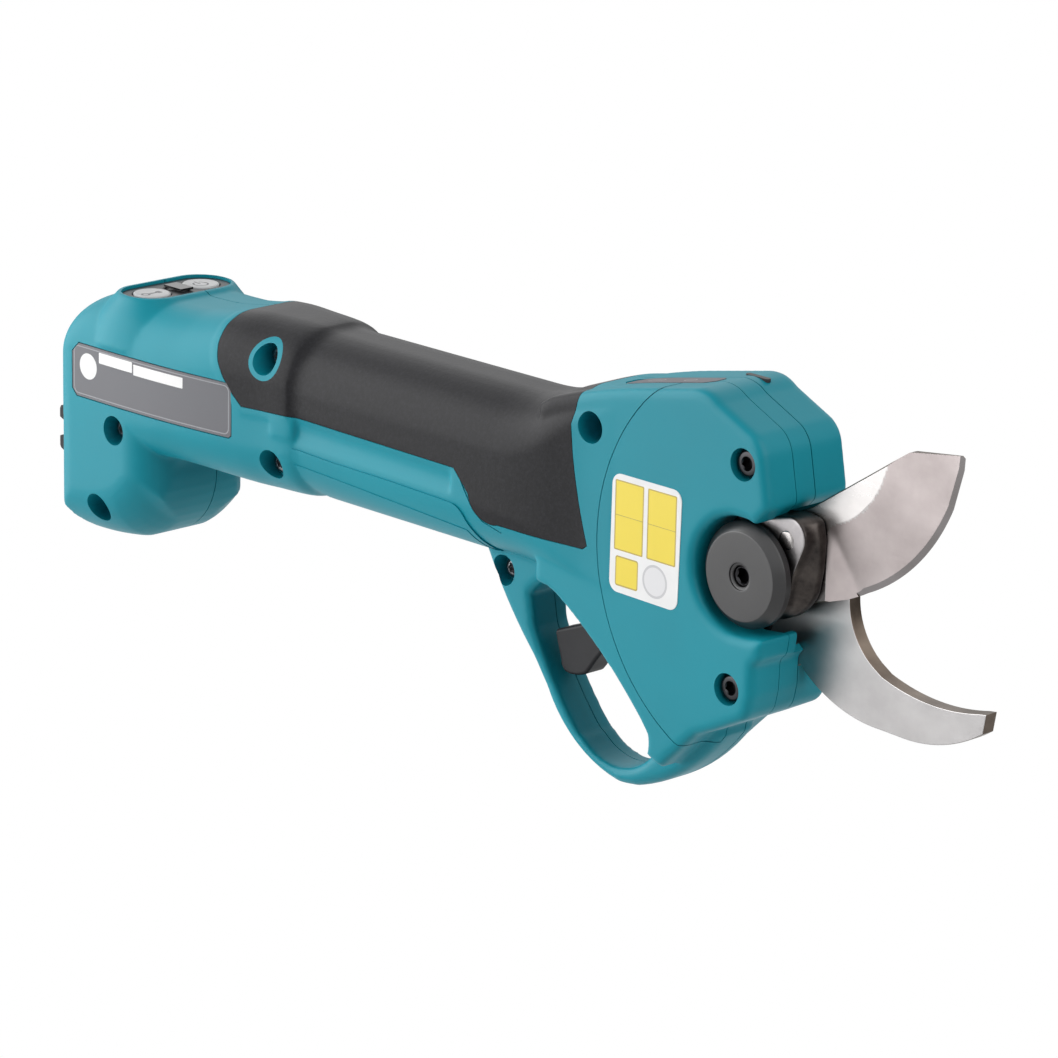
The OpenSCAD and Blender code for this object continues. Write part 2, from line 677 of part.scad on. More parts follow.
hook_y = [0, hook_t];
hook_outline = shift(concat(
    arc3([0, 13], [-13, 0], [-11, -8]), arc3([-14, -16], [-14, -30], [-12, -42]), [[7, -42], [8.5, -30]],
    arc3([10.4, -32.3], [21.2, -38.7], [42.2, -43]), arc3([50, -43.3], [72, -40], [87.5, -33]), [[88.7, -26]],
    arc3([85.6, -26.5], [62, -29.5], [42, -26]), arc3([37.9, -23.5], [29.5, -13], [27.8, -4.8]),
    arc3([27.5, -2], [22, 4], [12, 5], 5)), pivot);
hook_screw_at = [pivot + [-6, -21], pivot + [-8, -33]];
hook_screw_r = 2;
hook_head_r = 3.6;
hook_head_t = 2.4;

module hook_blade() color("#C9CBCD") difference() {
    side_prism(hook_y[0], hook_y[1]) polygon(hook_outline);
    rod_y(pivot, pivot_r, -30, 30);
    for (p = hook_screw_at) rod_y(p, hook_screw_r, -30, 30);
    rod_y(bolt_at[1], bolt_r, -30, 30);
}

module hook_screws() color("#55565A") for (p = hook_screw_at) {
    rod_y(p, hook_screw_r - 0.02, hook_y[0] + 0.5, back_y - wall - 2);
    rod_y(p, hook_head_r, hook_y[1], hook_y[1] + hook_head_t);
}

module pivot_bolt() color("#6E7074") difference() {
    union() {
        rod_y(pivot, pivot_r, cap_face_y + cap_t, nut_y[1] + 1);
        rod_y(pivot, bolt_neck_r, cap_face_y, cap_face_y + cap_t + eps);
    }
    rod_y(pivot, 2.9, cap_face_y - 1, cap_face_y + 4.5, 6);
}

bolt_neck_r = 4.4;
module pivot_cap() color("#2B2B2D")
    translate([pivot.x, cap_face_y + cap_t, pivot.y]) rotate([90, 0, 0])
        rotate_extrude() polygon([[bolt_neck_r, 0], [cap_r, 0], [cap_r, cap_t - 2.6],
            [cap_r - 3, cap_t], [bolt_neck_r, cap_t]]);

washer_y = [hook_t, hook_t + 1];
nut_y = [washer_y[1], washer_y[1] + 6];
module pivot_washer() color("#8A8C90") difference() {
    rod_y(pivot, 11, washer_y[0], washer_y[1]);
    rod_y(pivot, pivot_r, -30, 30);
}
module pivot_nut() color("#5B5D61") difference() {
    rod_y(pivot, 10.5, nut_y[0], nut_y[1], 6);
    rod_y(pivot, pivot_r, -30, 30);
}

// ---- drive ---------------------------------------------------------------------------------

apex_y = body_y;
bevel_z = 24;
bevel_pinion_z = 12;
bevel_r = bevel_z * bevel_m / 2;
bevel_pinion_r = bevel_pinion_z * bevel_m / 2;
bevel_inner = 11 / 16;
bevel_add = 1.9;
bevel_ded = 2.9;
pinion_y = [gear_plate[0] - 0.5, gear_plate[1] + 0.3];
shaft_r = 3;
bearing_r = 6.5;
bearing_t = 4;
bearing_near = [pinion_y[0] - 0.5 - bearing_t, pinion_y[0] - 0.5];
bearing_far = [back_y - wall - bearing_t, back_y - wall];

// Straight teeth for a bevel gear, from its root to its tip in the plane of its large end
function bevel_points(z, rp, add, ded, tip, root, a0 = 0) =
    [for (i = [0 : z - 1]) let (c = a0 + i * 360 / z, s = 360 / z)
        each [(rp - ded) * [cos(c - root * s), sin(c - root * s)],
              (rp + add) * [cos(c - tip * s), sin(c - tip * s)],
              (rp + add) * [cos(c + tip * s), sin(c + tip * s)],
              (rp - ded) * [cos(c + root * s), sin(c + root * s)]]];

module pinion_shaft() color("#85888C") {
    side_prism(pinion_y[0], pinion_y[1]) translate(pinion_at)
        polygon(gear_points(pinion_z, gear_m, tooth_add * gear_m, tooth_ded * gear_m, backlash,
            mesh_angle + 180 + 180 / pinion_z));
    rod_y(pinion_at, shaft_r, bearing_near[0], bearing_far[1]);
}

module bevel_gear() color("#7B7E82") difference() {
    union() {
        translate([pinion_at.x, apex_y + bevel_pinion_r, pinion_at.y]) rotate([90, 0, 0])
            linear_extrude(bevel_pinion_r * (1 - bevel_inner), scale = bevel_inner)
                polygon(bevel_points(bevel_z, bevel_r, bevel_add, bevel_ded, 0.13, 0.25));
        rod_y(pinion_at, bevel_r - bevel_ded - 0.1, apex_y + bevel_pinion_r, apex_y + bevel_pinion_r + 1.6);
        rod_y(pinion_at, 7, apex_y + bevel_pinion_r, bearing_far[0] - 0.3);
    }
    rod_y(pinion_at, shaft_r, -30, 30);
}

module pinion_bearings() color("#A7AAAE") for (b = [bearing_near, bearing_far]) difference() {
    rod_y(pinion_at, bearing_r, b[0], b[1]);
    rod_y(pinion_at, shaft_r + fit_gap, -30, 30);
}

bevel_back = pinion_at.x - bevel_r;
case_x = [bevel_back - 34, bevel_back - 4];
planet_x = [case_x[0] + 8, case_x[0] + 14];

module bevel_pinion() color("#7B7E82") {
    translate([bevel_back, apex_y, grip_z]) rotate([0, 90, 0])
        linear_extrude(bevel_r * (1 - bevel_inner), scale = bevel_inner)
            polygon(bevel_points(bevel_pinion_z, bevel_pinion_r, bevel_add / 2, bevel_ded / 2,
                0.13, 0.25, 15));
    rod_x(bevel_pinion_r - bevel_ded / 2 - 0.1, bevel_back - 1.5, bevel_back);
    rod_x(4, planet_x[1] + 3, bevel_back - 1.4);
}

module output_bearing() color("#A7AAAE") difference() {
    rod_x(9, case_x[1] - 6, case_x[1]);
    rod_x(4 + fit_gap, 0, 400);
}

sun_z = 12;
planet_z = 15;
ring_z = sun_z + 2 * planet_z;
orbit_r = (sun_z + planet_z) * planet_m / 2;
planet_pin_r = 1.6;
planet_gap = 0.1;

module planet_carrier() color("#8D9094") {
    difference() {
        rod_x(orbit_r + 3, planet_x[1] + 0.4, planet_x[1] + 3);
        rod_x(4, 0, planet_x[1] + 10);
    }
    for (a = [0, 120, 240])
        rod_x(planet_pin_r, planet_x[0], planet_x[1] + 0.5, orbit_r * sin(a), orbit_r * cos(a));
}

// Places a spur gear outline on the drive's axis, in the plane across X
module across_x(x0, x1)
    translate([x0, body_y, grip_z]) rotate([90, 0, 90]) linear_extrude(x1 - x0) children();

module planet(k) {
    a = 120 * k;
    place = orbit_r * [sin(a), cos(a)];
    toward = 90 - a;
    across_x(planet_x[0], planet_x[1]) translate(place) difference() {
        polygon(gear_points(planet_z, planet_m, 0.75 * planet_m, 1.05 * planet_m, planet_gap,
            toward + 180 + 180 / planet_z + (toward - 90) * sun_z / planet_z));
        circle(planet_pin_r + fit_gap);
    }
}
module planet_1() color("#9EA1A5") planet(0);
module planet_2() color("#9EA1A5") planet(1);
module planet_3() color("#9EA1A5") planet(2);

module sun_gear() color("#9EA1A5") across_x(planet_x[0] - 2, planet_x[1]) difference() {
    polygon(gear_points(sun_z, planet_m, 0.75 * planet_m, 1.05 * planet_m, planet_gap, 90));
    circle(2);
}

module ring_gear() color("#6F7276") across_x(planet_x[0] - 1, planet_x[1] + 0.4) difference() {
    circle(ring_z * planet_m / 2 + 1.6);
    polygon(gear_points(ring_z, planet_m, 1.05 * planet_m, 0.75 * planet_m, -planet_gap,
        90 + 180 / ring_z * (planet_z % 2 == 0 ? 1 : 0)));
}

case_r = ring_z * planet_m / 2 + 3;
module gearbox_case() color("#3A3C3F") difference() {
    rod_x(case_r, case_x[0], case_x[1]);
    rod_x(ring_z * planet_m / 2 + 1.6, case_x[0] + 3, planet_x[1] + 5);
    rod_x(9, case_x[1] - 6, case_x[1] + 1);
    rod_x(6, planet_x[1], case_x[1]);
    rod_x(7, case_x[0] - 1, case_x[0] + 4);
}

motor_x = [case_x[0] - motor_len, case_x[0]];
module motor_can() color("#46484C") difference() {
    rod_x(motor_r, motor_x[0], motor_x[1]);
    rod_x(motor_r - 1.4, motor_x[0] + 1.5, motor_x[1] - 1.5);
    rod_x(5.5, motor_x[0] - 1, motor_x[0] + 2);
    rod_x(5.5, motor_x[1] - 2, motor_x[1] + 1);
}
module motor_stator() color("#9A5B2C") difference() {
    rod_x(motor_r - 1.4, motor_x[0] + 12, motor_x[1] - 12);
    rod_x(9, 0, 400);
}
module motor_rotor() color("#787B80") {
    rod_x(8.5, motor_x[0] + 14, motor_x[1] - 14);
    rod_x(2, motor_x[0] + 1, planet_x[1] - 1);
}
module motor_bearings() color("#A7AAAE") for (x = [motor_x[0], motor_x[1] - 4]) difference() {
    rod_x(5.5, x, x + 4);
    rod_x(2 + fit_gap, 0, 400);
}

// ---- trigger -------------------------------------------------------------------------------

trigger_travel = 12;
trigger_mid = (guard_left - guard_right) / 2;
trigger_outline = shift(concat(
    arc3([-1, 4.5], [4.5, 0], [0, -4.5], 8), [[-9, -9]],
    arc3([-11, -11], [-18, -17], [-17.5, -24]), [[-22, -29], [-28, -29.5]],
    arc3([-31.5, -27], [-34, -19], [-35.5, -12.5], 5),
    arc3([-30, -8.5], [-20, -5], [-10, 1], 6)), trigger_at);

module trigger() color("#29292B") difference() {
    side_prism(trigger_mid - trigger_w / 2, trigger_mid + trigger_w / 2) polygon(trigger_outline);
    rod_y(trigger_at, trigger_pin_r + fit_gap, -30, 30);
}
module trigger_pin() color("#9A9CA0")
    rod_y(trigger_at, trigger_pin_r, face_y + wall, back_y - wall);

module trigger_pin_hole() rod_y(trigger_at, trigger_pin_r, face_y + wall / 2, back_y - wall / 2);

// The slot through both housings that the trigger swings in
module trigger_slot()
    side_prism(trigger_mid - trigger_w / 2 - 0.6, trigger_mid + trigger_w / 2 + 0.6)
        polygon(shift([[-20, 8], [8, 8], [8, -12], [-24, -34], [-34, -16]], trigger_at));

module trigger_spring() color("#8F9296") difference() {
    rod_y(trigger_at, 4, trigger_mid + trigger_w / 2 + 1, back_y - wall - 1);
    rod_y(trigger_at, trigger_pin_r, -30, 30);
}
switch_size = [8, 10, 9];
switch_at = trigger_at + [11, 6.5];
module trigger_switch() color("#1E1E20")
    translate([switch_at.x, trigger_mid, switch_at.y]) cube(switch_size, center = true);

// ---- fasteners -----------------------------------------------------------------------------

module star_socket(p, y) for (a = [0, 60, 120]) translate([p.x, y, p.y]) rotate([0, a, 0])
    cube([0.9, 3, 3.6], center = true);

module housing_screws() color("#3E3F42") for (i = [0 : 5]) difference() {
    union() {
        rod_y(screw_at[i], screw_head_r, screw_seat[i] - screw_head_t, screw_seat[i]);
        rod_y(screw_at[i], screw_r, screw_seat[i] - eps, screw_tip[i]);
    }
    star_socket(screw_at[i], screw_seat[i] - screw_head_t);
}

module cover_bolts() color("#2E2F31") for (p = bolt_at) difference() {
    union() {
        rod_y(p, bolt_head_r, bolt_seat - bolt_head_t, bolt_seat);
        rod_y(p, bolt_r, bolt_seat - eps, bolt_tip);
    }
    rod_y(p, 2.3, bolt_seat - bolt_head_t - 1, bolt_seat - bolt_head_t + 2.4, 6);
}

housing_right();
housing_left();
gear_cover();
grip_rubber_right();
grip_rubber_left();
nameplate();
side_sticker();
control_panel();
display_window();
power_button();
mode_button();
panel_board();
button_switches();
indicator_panel();
indicator_lens();
terminal_block();
battery_contacts();
controller_board();
wiring();
cutting_blade();
blade_hub();
hub_pin();
sector_gear();
pivot_bush();
hook_blade();
hook_screws();
pivot_bolt();
pivot_cap();
pivot_nut();
pivot_washer();
pinion_shaft();
bevel_gear();
pinion_bearings();
bevel_pinion();
planet_carrier();
output_bearing();
planet_1();
planet_2();
planet_3();
gearbox_case();
ring_gear();
sun_gear();
motor_rotor();
motor_stator();
motor_can();
motor_bearings();
trigger();
trigger_pin();
trigger_spring();
trigger_switch();
housing_screws();
cover_bolts();
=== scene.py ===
import math
import bpy
import bmesh
from mathutils import Matrix, Vector
from mathutils.bvhtree import BVHTree


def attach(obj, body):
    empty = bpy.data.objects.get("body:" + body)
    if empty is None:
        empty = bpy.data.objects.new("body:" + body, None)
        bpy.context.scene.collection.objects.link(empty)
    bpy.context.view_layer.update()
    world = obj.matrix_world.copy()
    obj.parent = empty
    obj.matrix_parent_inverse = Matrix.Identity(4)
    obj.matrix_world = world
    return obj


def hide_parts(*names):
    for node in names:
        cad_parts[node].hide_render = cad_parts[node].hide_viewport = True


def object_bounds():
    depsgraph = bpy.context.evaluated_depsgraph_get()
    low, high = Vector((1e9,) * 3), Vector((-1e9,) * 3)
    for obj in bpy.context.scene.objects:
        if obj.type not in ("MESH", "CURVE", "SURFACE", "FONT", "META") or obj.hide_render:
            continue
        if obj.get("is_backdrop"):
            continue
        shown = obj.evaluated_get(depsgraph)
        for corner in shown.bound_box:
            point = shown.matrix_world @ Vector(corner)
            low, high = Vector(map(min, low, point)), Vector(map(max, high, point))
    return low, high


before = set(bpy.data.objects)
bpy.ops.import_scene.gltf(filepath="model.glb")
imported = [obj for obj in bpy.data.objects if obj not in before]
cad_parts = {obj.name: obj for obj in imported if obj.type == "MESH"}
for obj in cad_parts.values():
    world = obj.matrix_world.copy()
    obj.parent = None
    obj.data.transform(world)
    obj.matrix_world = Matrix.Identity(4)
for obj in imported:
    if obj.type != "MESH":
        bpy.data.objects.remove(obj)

cad_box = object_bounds()

# ---- camera ----------------------------------------------------------------------------------
# The photograph is a product shot from the right side, a little from the front and from above,
# through a long lens. Each image point is x, y in the 1058 x 1058 frame, found on the photograph.
photo = dict(
    object_left=(59.5, None), object_right=(998.5, None), object_top=(None, 275.8), object_bottom=(None, 782.5),
    rear_well=(111.5, 431.5), foot_well=(97.5, 509.0), collar_well=(264.5, 361.0), lower_well=(271.5, 465.5),
    head_well=(590.0, 427.5), guard_well=(502.5, 570.5), upper_bolt=(746.0, 463.5), lower_bolt=(730.0, 688.5),
    cap_socket=(740.5, 576.0), hub_pin=(785.5, 540.0), cutting_tip=(968.8, 457.5), hook_tip=(998.0, 713.5),
    near_button=(150.8, 295.3), far_button=(200.0, 286.5), label=(646.0, 543.0), nameplate=(153.3, 389.0),
    head_slot=(758.5, 376.3))
view_azimuth, view_elevation, view_roll = math.radians(45.69), math.radians(16.33), math.radians(1.21)
view_aim = Vector((0.1556, 0.0491, -0.0345))
view_distance, view_lens, sensor = 1.7, 170.13, 36.0

ahead = Vector((-math.sin(view_azimuth) * math.cos(view_elevation),
                math.cos(view_azimuth) * math.cos(view_elevation), -math.sin(view_elevation)))
level = Vector((math.cos(view_azimuth), math.sin(view_azimuth), 0))
upright = level.cross(ahead)
right = math.cos(view_roll) * level + math.sin(view_roll) * upright
up = -math.sin(view_roll) * level + math.cos(view_roll) * upright
eye = view_aim - ahead * view_distance
camera = bpy.data.objects.new("photo_camera", bpy.data.cameras.new("photo_camera"))
camera.data.sensor_fit = "AUTO"
camera.data.sensor_width = sensor
camera.data.lens = view_lens
camera.data.clip_end = 20
camera.matrix_world = Matrix((right, up, -ahead)).transposed().to_4x4()
camera.matrix_world.translation = eye
bpy.context.scene.collection.objects.link(camera)
bpy.context.scene.camera = camera
frame_side = 1058


def seen_on(point, trees):
    """Where the ray through an image point first meets the given surfaces, and which way they face."""
    x, y = point
    ray = (right * (x - frame_side / 2) + up * (frame_side / 2 - y) + ahead * frame_side * view_lens / sensor)
    ray.normalize()
    hits = [tree.ray_cast(eye, ray) for tree in trees]
    hits = [h for h in hits if h[0] is not None]
    if hits:
        near = min(hits, key=lambda h: h[3])
        return near[0], near[1]
    for k in range(4000):
        spot = eye + ray * (1.2 + k * 0.0002)
        near = trees[0].find_nearest(spot)
        if k == 0 or near[3] < best[3]:
            best = near
    return best[0], best[1]


def on_photo(spot):
    """The image point, in the photograph's pixels, at which a place in metres shows."""
    v = Vector(spot) - eye
    depth = v.dot(ahead)
    scale = frame_side * view_lens / sensor / depth
    return frame_side / 2 + v.dot(right) * scale, frame_side / 2 - v.dot(up) * scale


# ---- the body's moulded form -----------------------------------------------------------------
# The two housing halves are moulded in glass-filled nylon from one outer form: a rear body with
# a foot, a straight grip with a thicker collar and hump, a flat-sided head and a guard loop.
# The form is made once here, in millimetres, and is then divided as the real mouldings are.
body_y = -3.0
pivot = Vector((319.0, 0.0))
face_y, back_y, cover_y = -21.5, 15.5, -8.5
wall, rubber_t = 2.5, 1.5
split_gap = 0.17
# depths in Y that pass right through the tool
through = (-60, 60)


def solid(name, bm):
    """A working solid in millimetres."""
    bmesh.ops.recalc_face_normals(bm, faces=bm.faces)
    mesh = bpy.data.meshes.new(name)
    bm.to_mesh(mesh)
    bm.free()
    return mesh


def settle(mesh, *steps):
    """The mesh with modifiers applied: each step is a kind and its settings."""
    holder = bpy.data.objects.new("holder", mesh)
    bpy.context.scene.collection.objects.link(holder)
    for kind, settings in steps:
        modifier = holder.modifiers.new(kind, kind)
        for key, value in settings.items():
            setattr(modifier, key, value)
    made = bpy.data.meshes.new_from_object(holder.evaluated_get(bpy.context.evaluated_depsgraph_get()))
    bpy.data.objects.remove(holder)
    return made


def combine(how, base, *others):
    """Joins, cuts or keeps what the meshes share."""
    for other in others:
        tool = bpy.data.objects.new("tool", other)
        bpy.context.scene.collection.objects.link(tool)
        base = settle(base, ("BOOLEAN", dict(operation=how, object=tool, solver="MANIFOLD")))
        bpy.data.objects.remove(tool)
    return base


def joined(base, *others):
    return combine("UNION", base, *others)


def without(base, *others):
    return combine("DIFFERENCE", base, *others)


def shared(base, *others):
    return combine("INTERSECT", base, *others)


def arc(a, b, c, steps=10):
    """Outline points on the arc from a through b to c."""
    (ax, az), (bx, bz), (cx, cz) = a, b, c
    d = 2 * (ax * (bz - cz) + bx * (cz - az) + cx * (az - bz))
    aa, bb, cc = ax * ax + az * az, bx * bx + bz * bz, cx * cx + cz * cz
    mx = (aa * (bz - cz) + bb * (cz - az) + cc * (az - bz)) / d
    mz = (aa * (cx - bx) + bb * (ax - cx) + cc * (bx - ax)) / d
    radius = math.hypot(ax - mx, az - mz)
    t0, tb, t1 = (math.atan2(p[1] - mz, p[0] - mx) for p in (a, b, c))
    turn = 2 * math.pi
    sweep = (t1 - t0) % turn if (tb - t0) % turn < (t1 - t0) % turn else -((t0 - t1) % turn)
    return [(mx + radius * math.cos(t0 + sweep * k / steps), mz + radius * math.sin(t0 + sweep * k / steps))
            for k in range(steps + 1)]


def about_pivot(points):
    return [(x + pivot.x, z) for x, z in points]


def prism(points, y0, y1, edge=0.0, segments=3):
    """A flat outline in X and Z with its thickness along Y, and its side edges rounded by edge."""
    bm = bmesh.new()
    face = bm.faces.new([bm.verts.new((x, y0, z)) for x, z in points])
    made = bmesh.ops.extrude_face_region(bm, geom=[face])["geom"]
    bmesh.ops.translate(bm, vec=(0, y1 - y0, 0), verts=[v for v in made if isinstance(v, bmesh.types.BMVert)])
    bmesh.ops.recalc_face_normals(bm, faces=bm.faces)
    if edge:
        rims = [e for e in bm.edges if abs(e.verts[0].co.y - e.verts[1].co.y) < 1e-6]
        bmesh.ops.bevel(bm, geom=rims, offset=edge, affect="EDGES", segments=segments, profile=0.5,
                        material=-1)
    return solid("prism", bm)


def upright_prism(points, z0, z1):
    """A flat outline in X and Y with its height along Z."""
    bm = bmesh.new()
    face = bm.faces.new([bm.verts.new((x, y, z0)) for x, y in points])
    made = bmesh.ops.extrude_face_region(bm, geom=[face])["geom"]
    bmesh.ops.translate(bm, vec=(0, 0, z1 - z0), verts=[v for v in made if isinstance(v, bmesh.types.BMVert)])
    return solid("upright_prism", bm)


def turned(profile, centre, steps=64, along="Y"):
    """A solid turned about an axis along Y or Z: the profile is (radius, y) from one end to the other."""
    bm = bmesh.new()
    line = [bm.verts.new((r, y, 0)) for r, y in profile]
    edges = [bm.edges.new(pair) for pair in zip(line, line[1:])]
    bmesh.ops.spin(bm, geom=line + edges, cent=(0, 0, 0), axis=(0, 1, 0), angle=2 * math.pi, steps=steps,
                   use_merge=True, use_duplicate=False)
    bmesh.ops.remove_doubles(bm, verts=bm.verts, dist=1e-5)
    if along == "Z":
        bmesh.ops.rotate(bm, cent=(0, 0, 0), matrix=Matrix.Rotation(math.pi / 2, 3, "X"), verts=bm.verts)
    bmesh.ops.translate(bm, vec=centre, verts=bm.verts)
    return solid("turned", bm)


def rod(x, z, radius, y0, y1, steps=48):
    """A round rod along Y."""
    return turned([(0, y0), (radius, y0), (radius, y1), (0, y1)], (x, 0, z), steps)


def eased(keys, x):
    """One row of values between the keyed sections, without overshoot."""
    k = max(i for i in range(len(keys) - 1) if i == 0 or keys[i][0] <= x)
    a, b = keys[k], keys[k + 1]
    width = b[0] - a[0]
    t = (x - a[0]) / width
    row = []
    for j in range(1, len(a)):
        rise = (b[j] - a[j]) / width
        before = (a[j] - keys[k - 1][j]) / (a[0] - keys[k - 1][0]) if k else rise
        after = (keys[k + 2][j] - b[j]) / (keys[k + 2][0] - b[0]) if k + 2 < len(keys) else rise
        m0 = 0 if before * rise <= 0 else 2 * before * rise / (before + rise)
        m1 = 0 if after * rise <= 0 else 2 * after * rise / (after + rise)
        row.append(a[j] * (1 + 2 * t) * (1 - t) ** 2 + width * m0 * t * (1 - t) ** 2
                   + b[j] * t * t * (3 - 2 * t) + width * m1 * t * t * (t - 1))
    return row


# sections of the core: x, half width, top, low, upper and lower corner radius, middle y
core_keys = [
    (0, 20.5, 10, -15, 7, 5, -3), (1, 24.6, 15, -16.6, 8, 6, -3), (2.5, 26.8, 19, -17.8, 9, 7, -3),
    (5, 28.6, 23.5, -18.6, 11, 8, -3), (9, 29.5, 28, -19, 14, 9, -3), (14, 29.5, 31, -19, 16, 10, -3),
    (20, 29.5, 33, -19, 18, 11, -3), (32, 29.5, 34, -19, 19, 12, -3), (50, 29.2, 34, -19.2, 19, 14, -3),
    (62, 28.6, 34.4, -19.6, 19, 16, -3), (70, 28.0, 35.5, -20.1, 19, 17, -3),
    (80, 27.0, 37.2, -20.8, 19, 18, -3),
    (92, 25.5, 38, -21.2, 19, 18, -3), (104, 24.2, 38, -21.4, 19, 19, -3),
    (112, 23.7, 37.8, -21.2, 19, 19, -3),
    (116.5, 23.2, 37.3, -20.9, 19, 19, -3), (119.5, 22.2, 36.5, -19.8, 19, 19, -3),
    (123, 22, 36.3, -19.5, 19, 19, -3),
    (212, 22, 36.3, -19.5, 19, 19, -3), (220, 21.9, 36.6, -19.7, 18.5, 19, -3),
    (228, 21.5, 38, -20.2, 17.5, 18, -3),
    (236, 20.8, 41, -21, 15.5, 16, -3), (244, 19.8, 44.2, -22, 13, 13, -3),
    (253, 18.9, 46.8, -23, 10, 10, -3), (264, 18.6, 48.4, -24, 7, 8, -3)]


def loft(rings):
    """A closed solid skinned over rings that have the same number of points."""
    bm = bmesh.new()
    loops = []
    for ring in rings:
        made = bmesh.ops.create_circle(bm, cap_ends=False, segments=len(ring), radius=1)["verts"]
        for v, place in zip(made, ring):
            v.co = place
        loops.append(list({e for v in made for e in v.link_edges}))
    for a, b in zip(loops, loops[1:]):
        bmesh.ops.bridge_loops(bm, edges=a + b)
    for end in (loops[0], loops[-1]):
        bmesh.ops.contextual_create(bm, geom=end)
    return solid("loft", bm)


def section(x, half, z0, z1, r_top, r_low, middle=-3.0, count=44):
    """A ring across X: a rectangle with round corners, larger above than below."""
    ring = []
    for k in range(count):
        c, s = math.cos(2 * math.pi * (k + 0.5) / count), math.sin(2 * math.pi * (k + 0.5) / count)
        r = r_top if s > 0 else r_low
        ring.append((x, middle + math.copysign(half - r, c) + r * c, (z1 - r if s > 0 else z0 + r) + r * s))
    return ring


def core(inset=0.0, x0=0.0, x1=264.0, step=2.0):
    """The rear body, collar, grip and hump, lofted through their sections."""
    places = [x0 + k * 0.5 for k in range(8)] if x0 == 0 else [x0]
    while places[-1] + 1.4 * step < x1:
        places.append(places[-1] + step)
    rings = []
    for x in places + [x1]:
        half, top, low, r_top, r_low, middle = eased(core_keys, x)
        rings.append(section(x + (inset if x < 4 and x0 == 0 else 0), half - inset, low + inset, top - inset,
                             r_top - inset, r_low - inset, middle))
    return loft(rings)


# the foot that carries the battery seat: its side, its plan and its section
rear_w, foot_bottom, foot_len = 59.0, -54.0, 50.0
# (x, corner radius, lowest z): the lower corners grow rounder towards the front
foot_keys = [(-1, 17, -54), (18, 19, -54), (30, 22, -53.5), (38, 26, -50.5), (46, 29, -44), (62, 29.4, -36)]
foot_side = ([(0, 4)] + arc((0, -34), (4.2, -46.5), (19, foot_bottom))
             + arc((24, foot_bottom), (42.5, -46), (foot_len, -28)) + arc((50, -23), (52.5, -18), (60, -16.5),
                 6)
             + [(60, 4)])
foot_plan = ([(-4, -32.5), (2.5, -32.5)] + arc((36, -32.5), (45.6, -29.2), (50, -20), 8)
             + arc((52.3, -12), (53.5, -4), (52, 4), 6) + arc((50.5, 8), (44, 16), (36, 22), 8)
             + [(30, 26.5), (-4, 26.5)])
foot = shared(prism(foot_side, -33, 27), upright_prism(foot_plan, -56, 6),
              loft([section(x, rear_w / 2, z, 20, 6, r) for x in range(-1, 62, 3)
                    for r, z in [eased(foot_keys, x)]]),
              loft([section(x, h, foot_bottom - 3, 20, 6, 8) for x, h in
                    ((0, 20.5), (1, 24.6), (2.5, 26.8), (5, 28.6), (9, 29.5), (62, 29.5))]))

# the teal boss that flares up to the button panel
panel_x, panel_y, button_gap = 32.5, -3.6, 11.0


def stadium(radius, z, count=48, grow_x=0.0):
    """A ring round both buttons."""
    ring = []
    for k in range(count):
        c, s = math.cos(2 * math.pi * (k + 0.5) / count), math.sin(2 * math.pi * (k + 0.5) / count)
        ring.append((panel_x + (radius + grow_x) * c, panel_y + math.copysign(button_gap, s) + radius * s, z))
    return ring


panel_boss = loft([stadium(r, z, grow_x=g) for r, z, g in
                   ((19.0, 18, 8.5), (17.6, 24, 5.6), (15.6, 29, 3.2), (13.6, 32, 1.7), (12.3, 34, 0.8),
                    (11.6, 35.25, 0.5))])

# the head's flat-sided form, in outline about the pivot
head_outline = about_pivot(
    [(-89, 37)] + arc((-84, 40), (-72, 44), (-42, 51.5)) + arc((-22, 55.5), (-16, 55.8), (-10, 53))
    + arc((5, 46), (8, 43), (9.5, 39.5)) + [(12, 26), (11.5, -16.5), (10.3, -24.5), (7.5, -27.3), (7.3, -37)]
    + arc((6.6, -40), (5.8, -43), (3.8, -45.7), 4) + [(-8.4, -52), (-16, -55.5), (-31, -70), (-38, -67)]
    + arc((-38, -62), (-56, -45), (-76, -27.5)) + [(-89, -22)])
head = prism(head_outline, face_y, back_y, 2.6)

# the looped guard below the trigger
guard_right, guard_left = -11.5, 6.0
guard_outer = about_pivot(
    arc((-123, -17), (-113.3, -33.5), (-99, -51.3)) + arc((-92.5, -60.2), (-80, -75), (-59, -83.8))
    + arc((-52, -83), (-38, -77), (-15, -57)) + [(-15, -50), (-60, -17)])
guard_hole = about_pivot(
    arc((-101, -31), (-92, -24.5), (-77, -27.5), 8) + arc((-76, -28), (-62, -38), (-40, -59))
    + arc((-38.5, -61), (-38.5, -65.3), (-43, -70), 6) + arc((-46, -73), (-61, -79.6), (-76, -74))
    + arc((-78, -73), (-90, -58), (-99, -42)))


def grown(points, by):
    """The outline moved outwards by a distance."""
    turn = sum(a[0] * b[1] - b[0] * a[1] for a, b in zip(points, points[1:] + points[:1]))
    way = 1 if turn > 0 else -1
    out = []
    for k, p in enumerate(points):
        before, after = Vector(points[k - 1]), Vector(points[(k + 1) % len(points)])
        a, b = (Vector(p) - before).normalized(), (after - Vector(p)).normalized()
        n1, n2 = Vector((a.y, -a.x)) * way, Vector((b.y, -b.x)) * way
        lean = (n1 + n2).normalized()
        out.append(tuple(Vector(p) + lean * by / max(0.45, lean.dot(n1))))
    return out


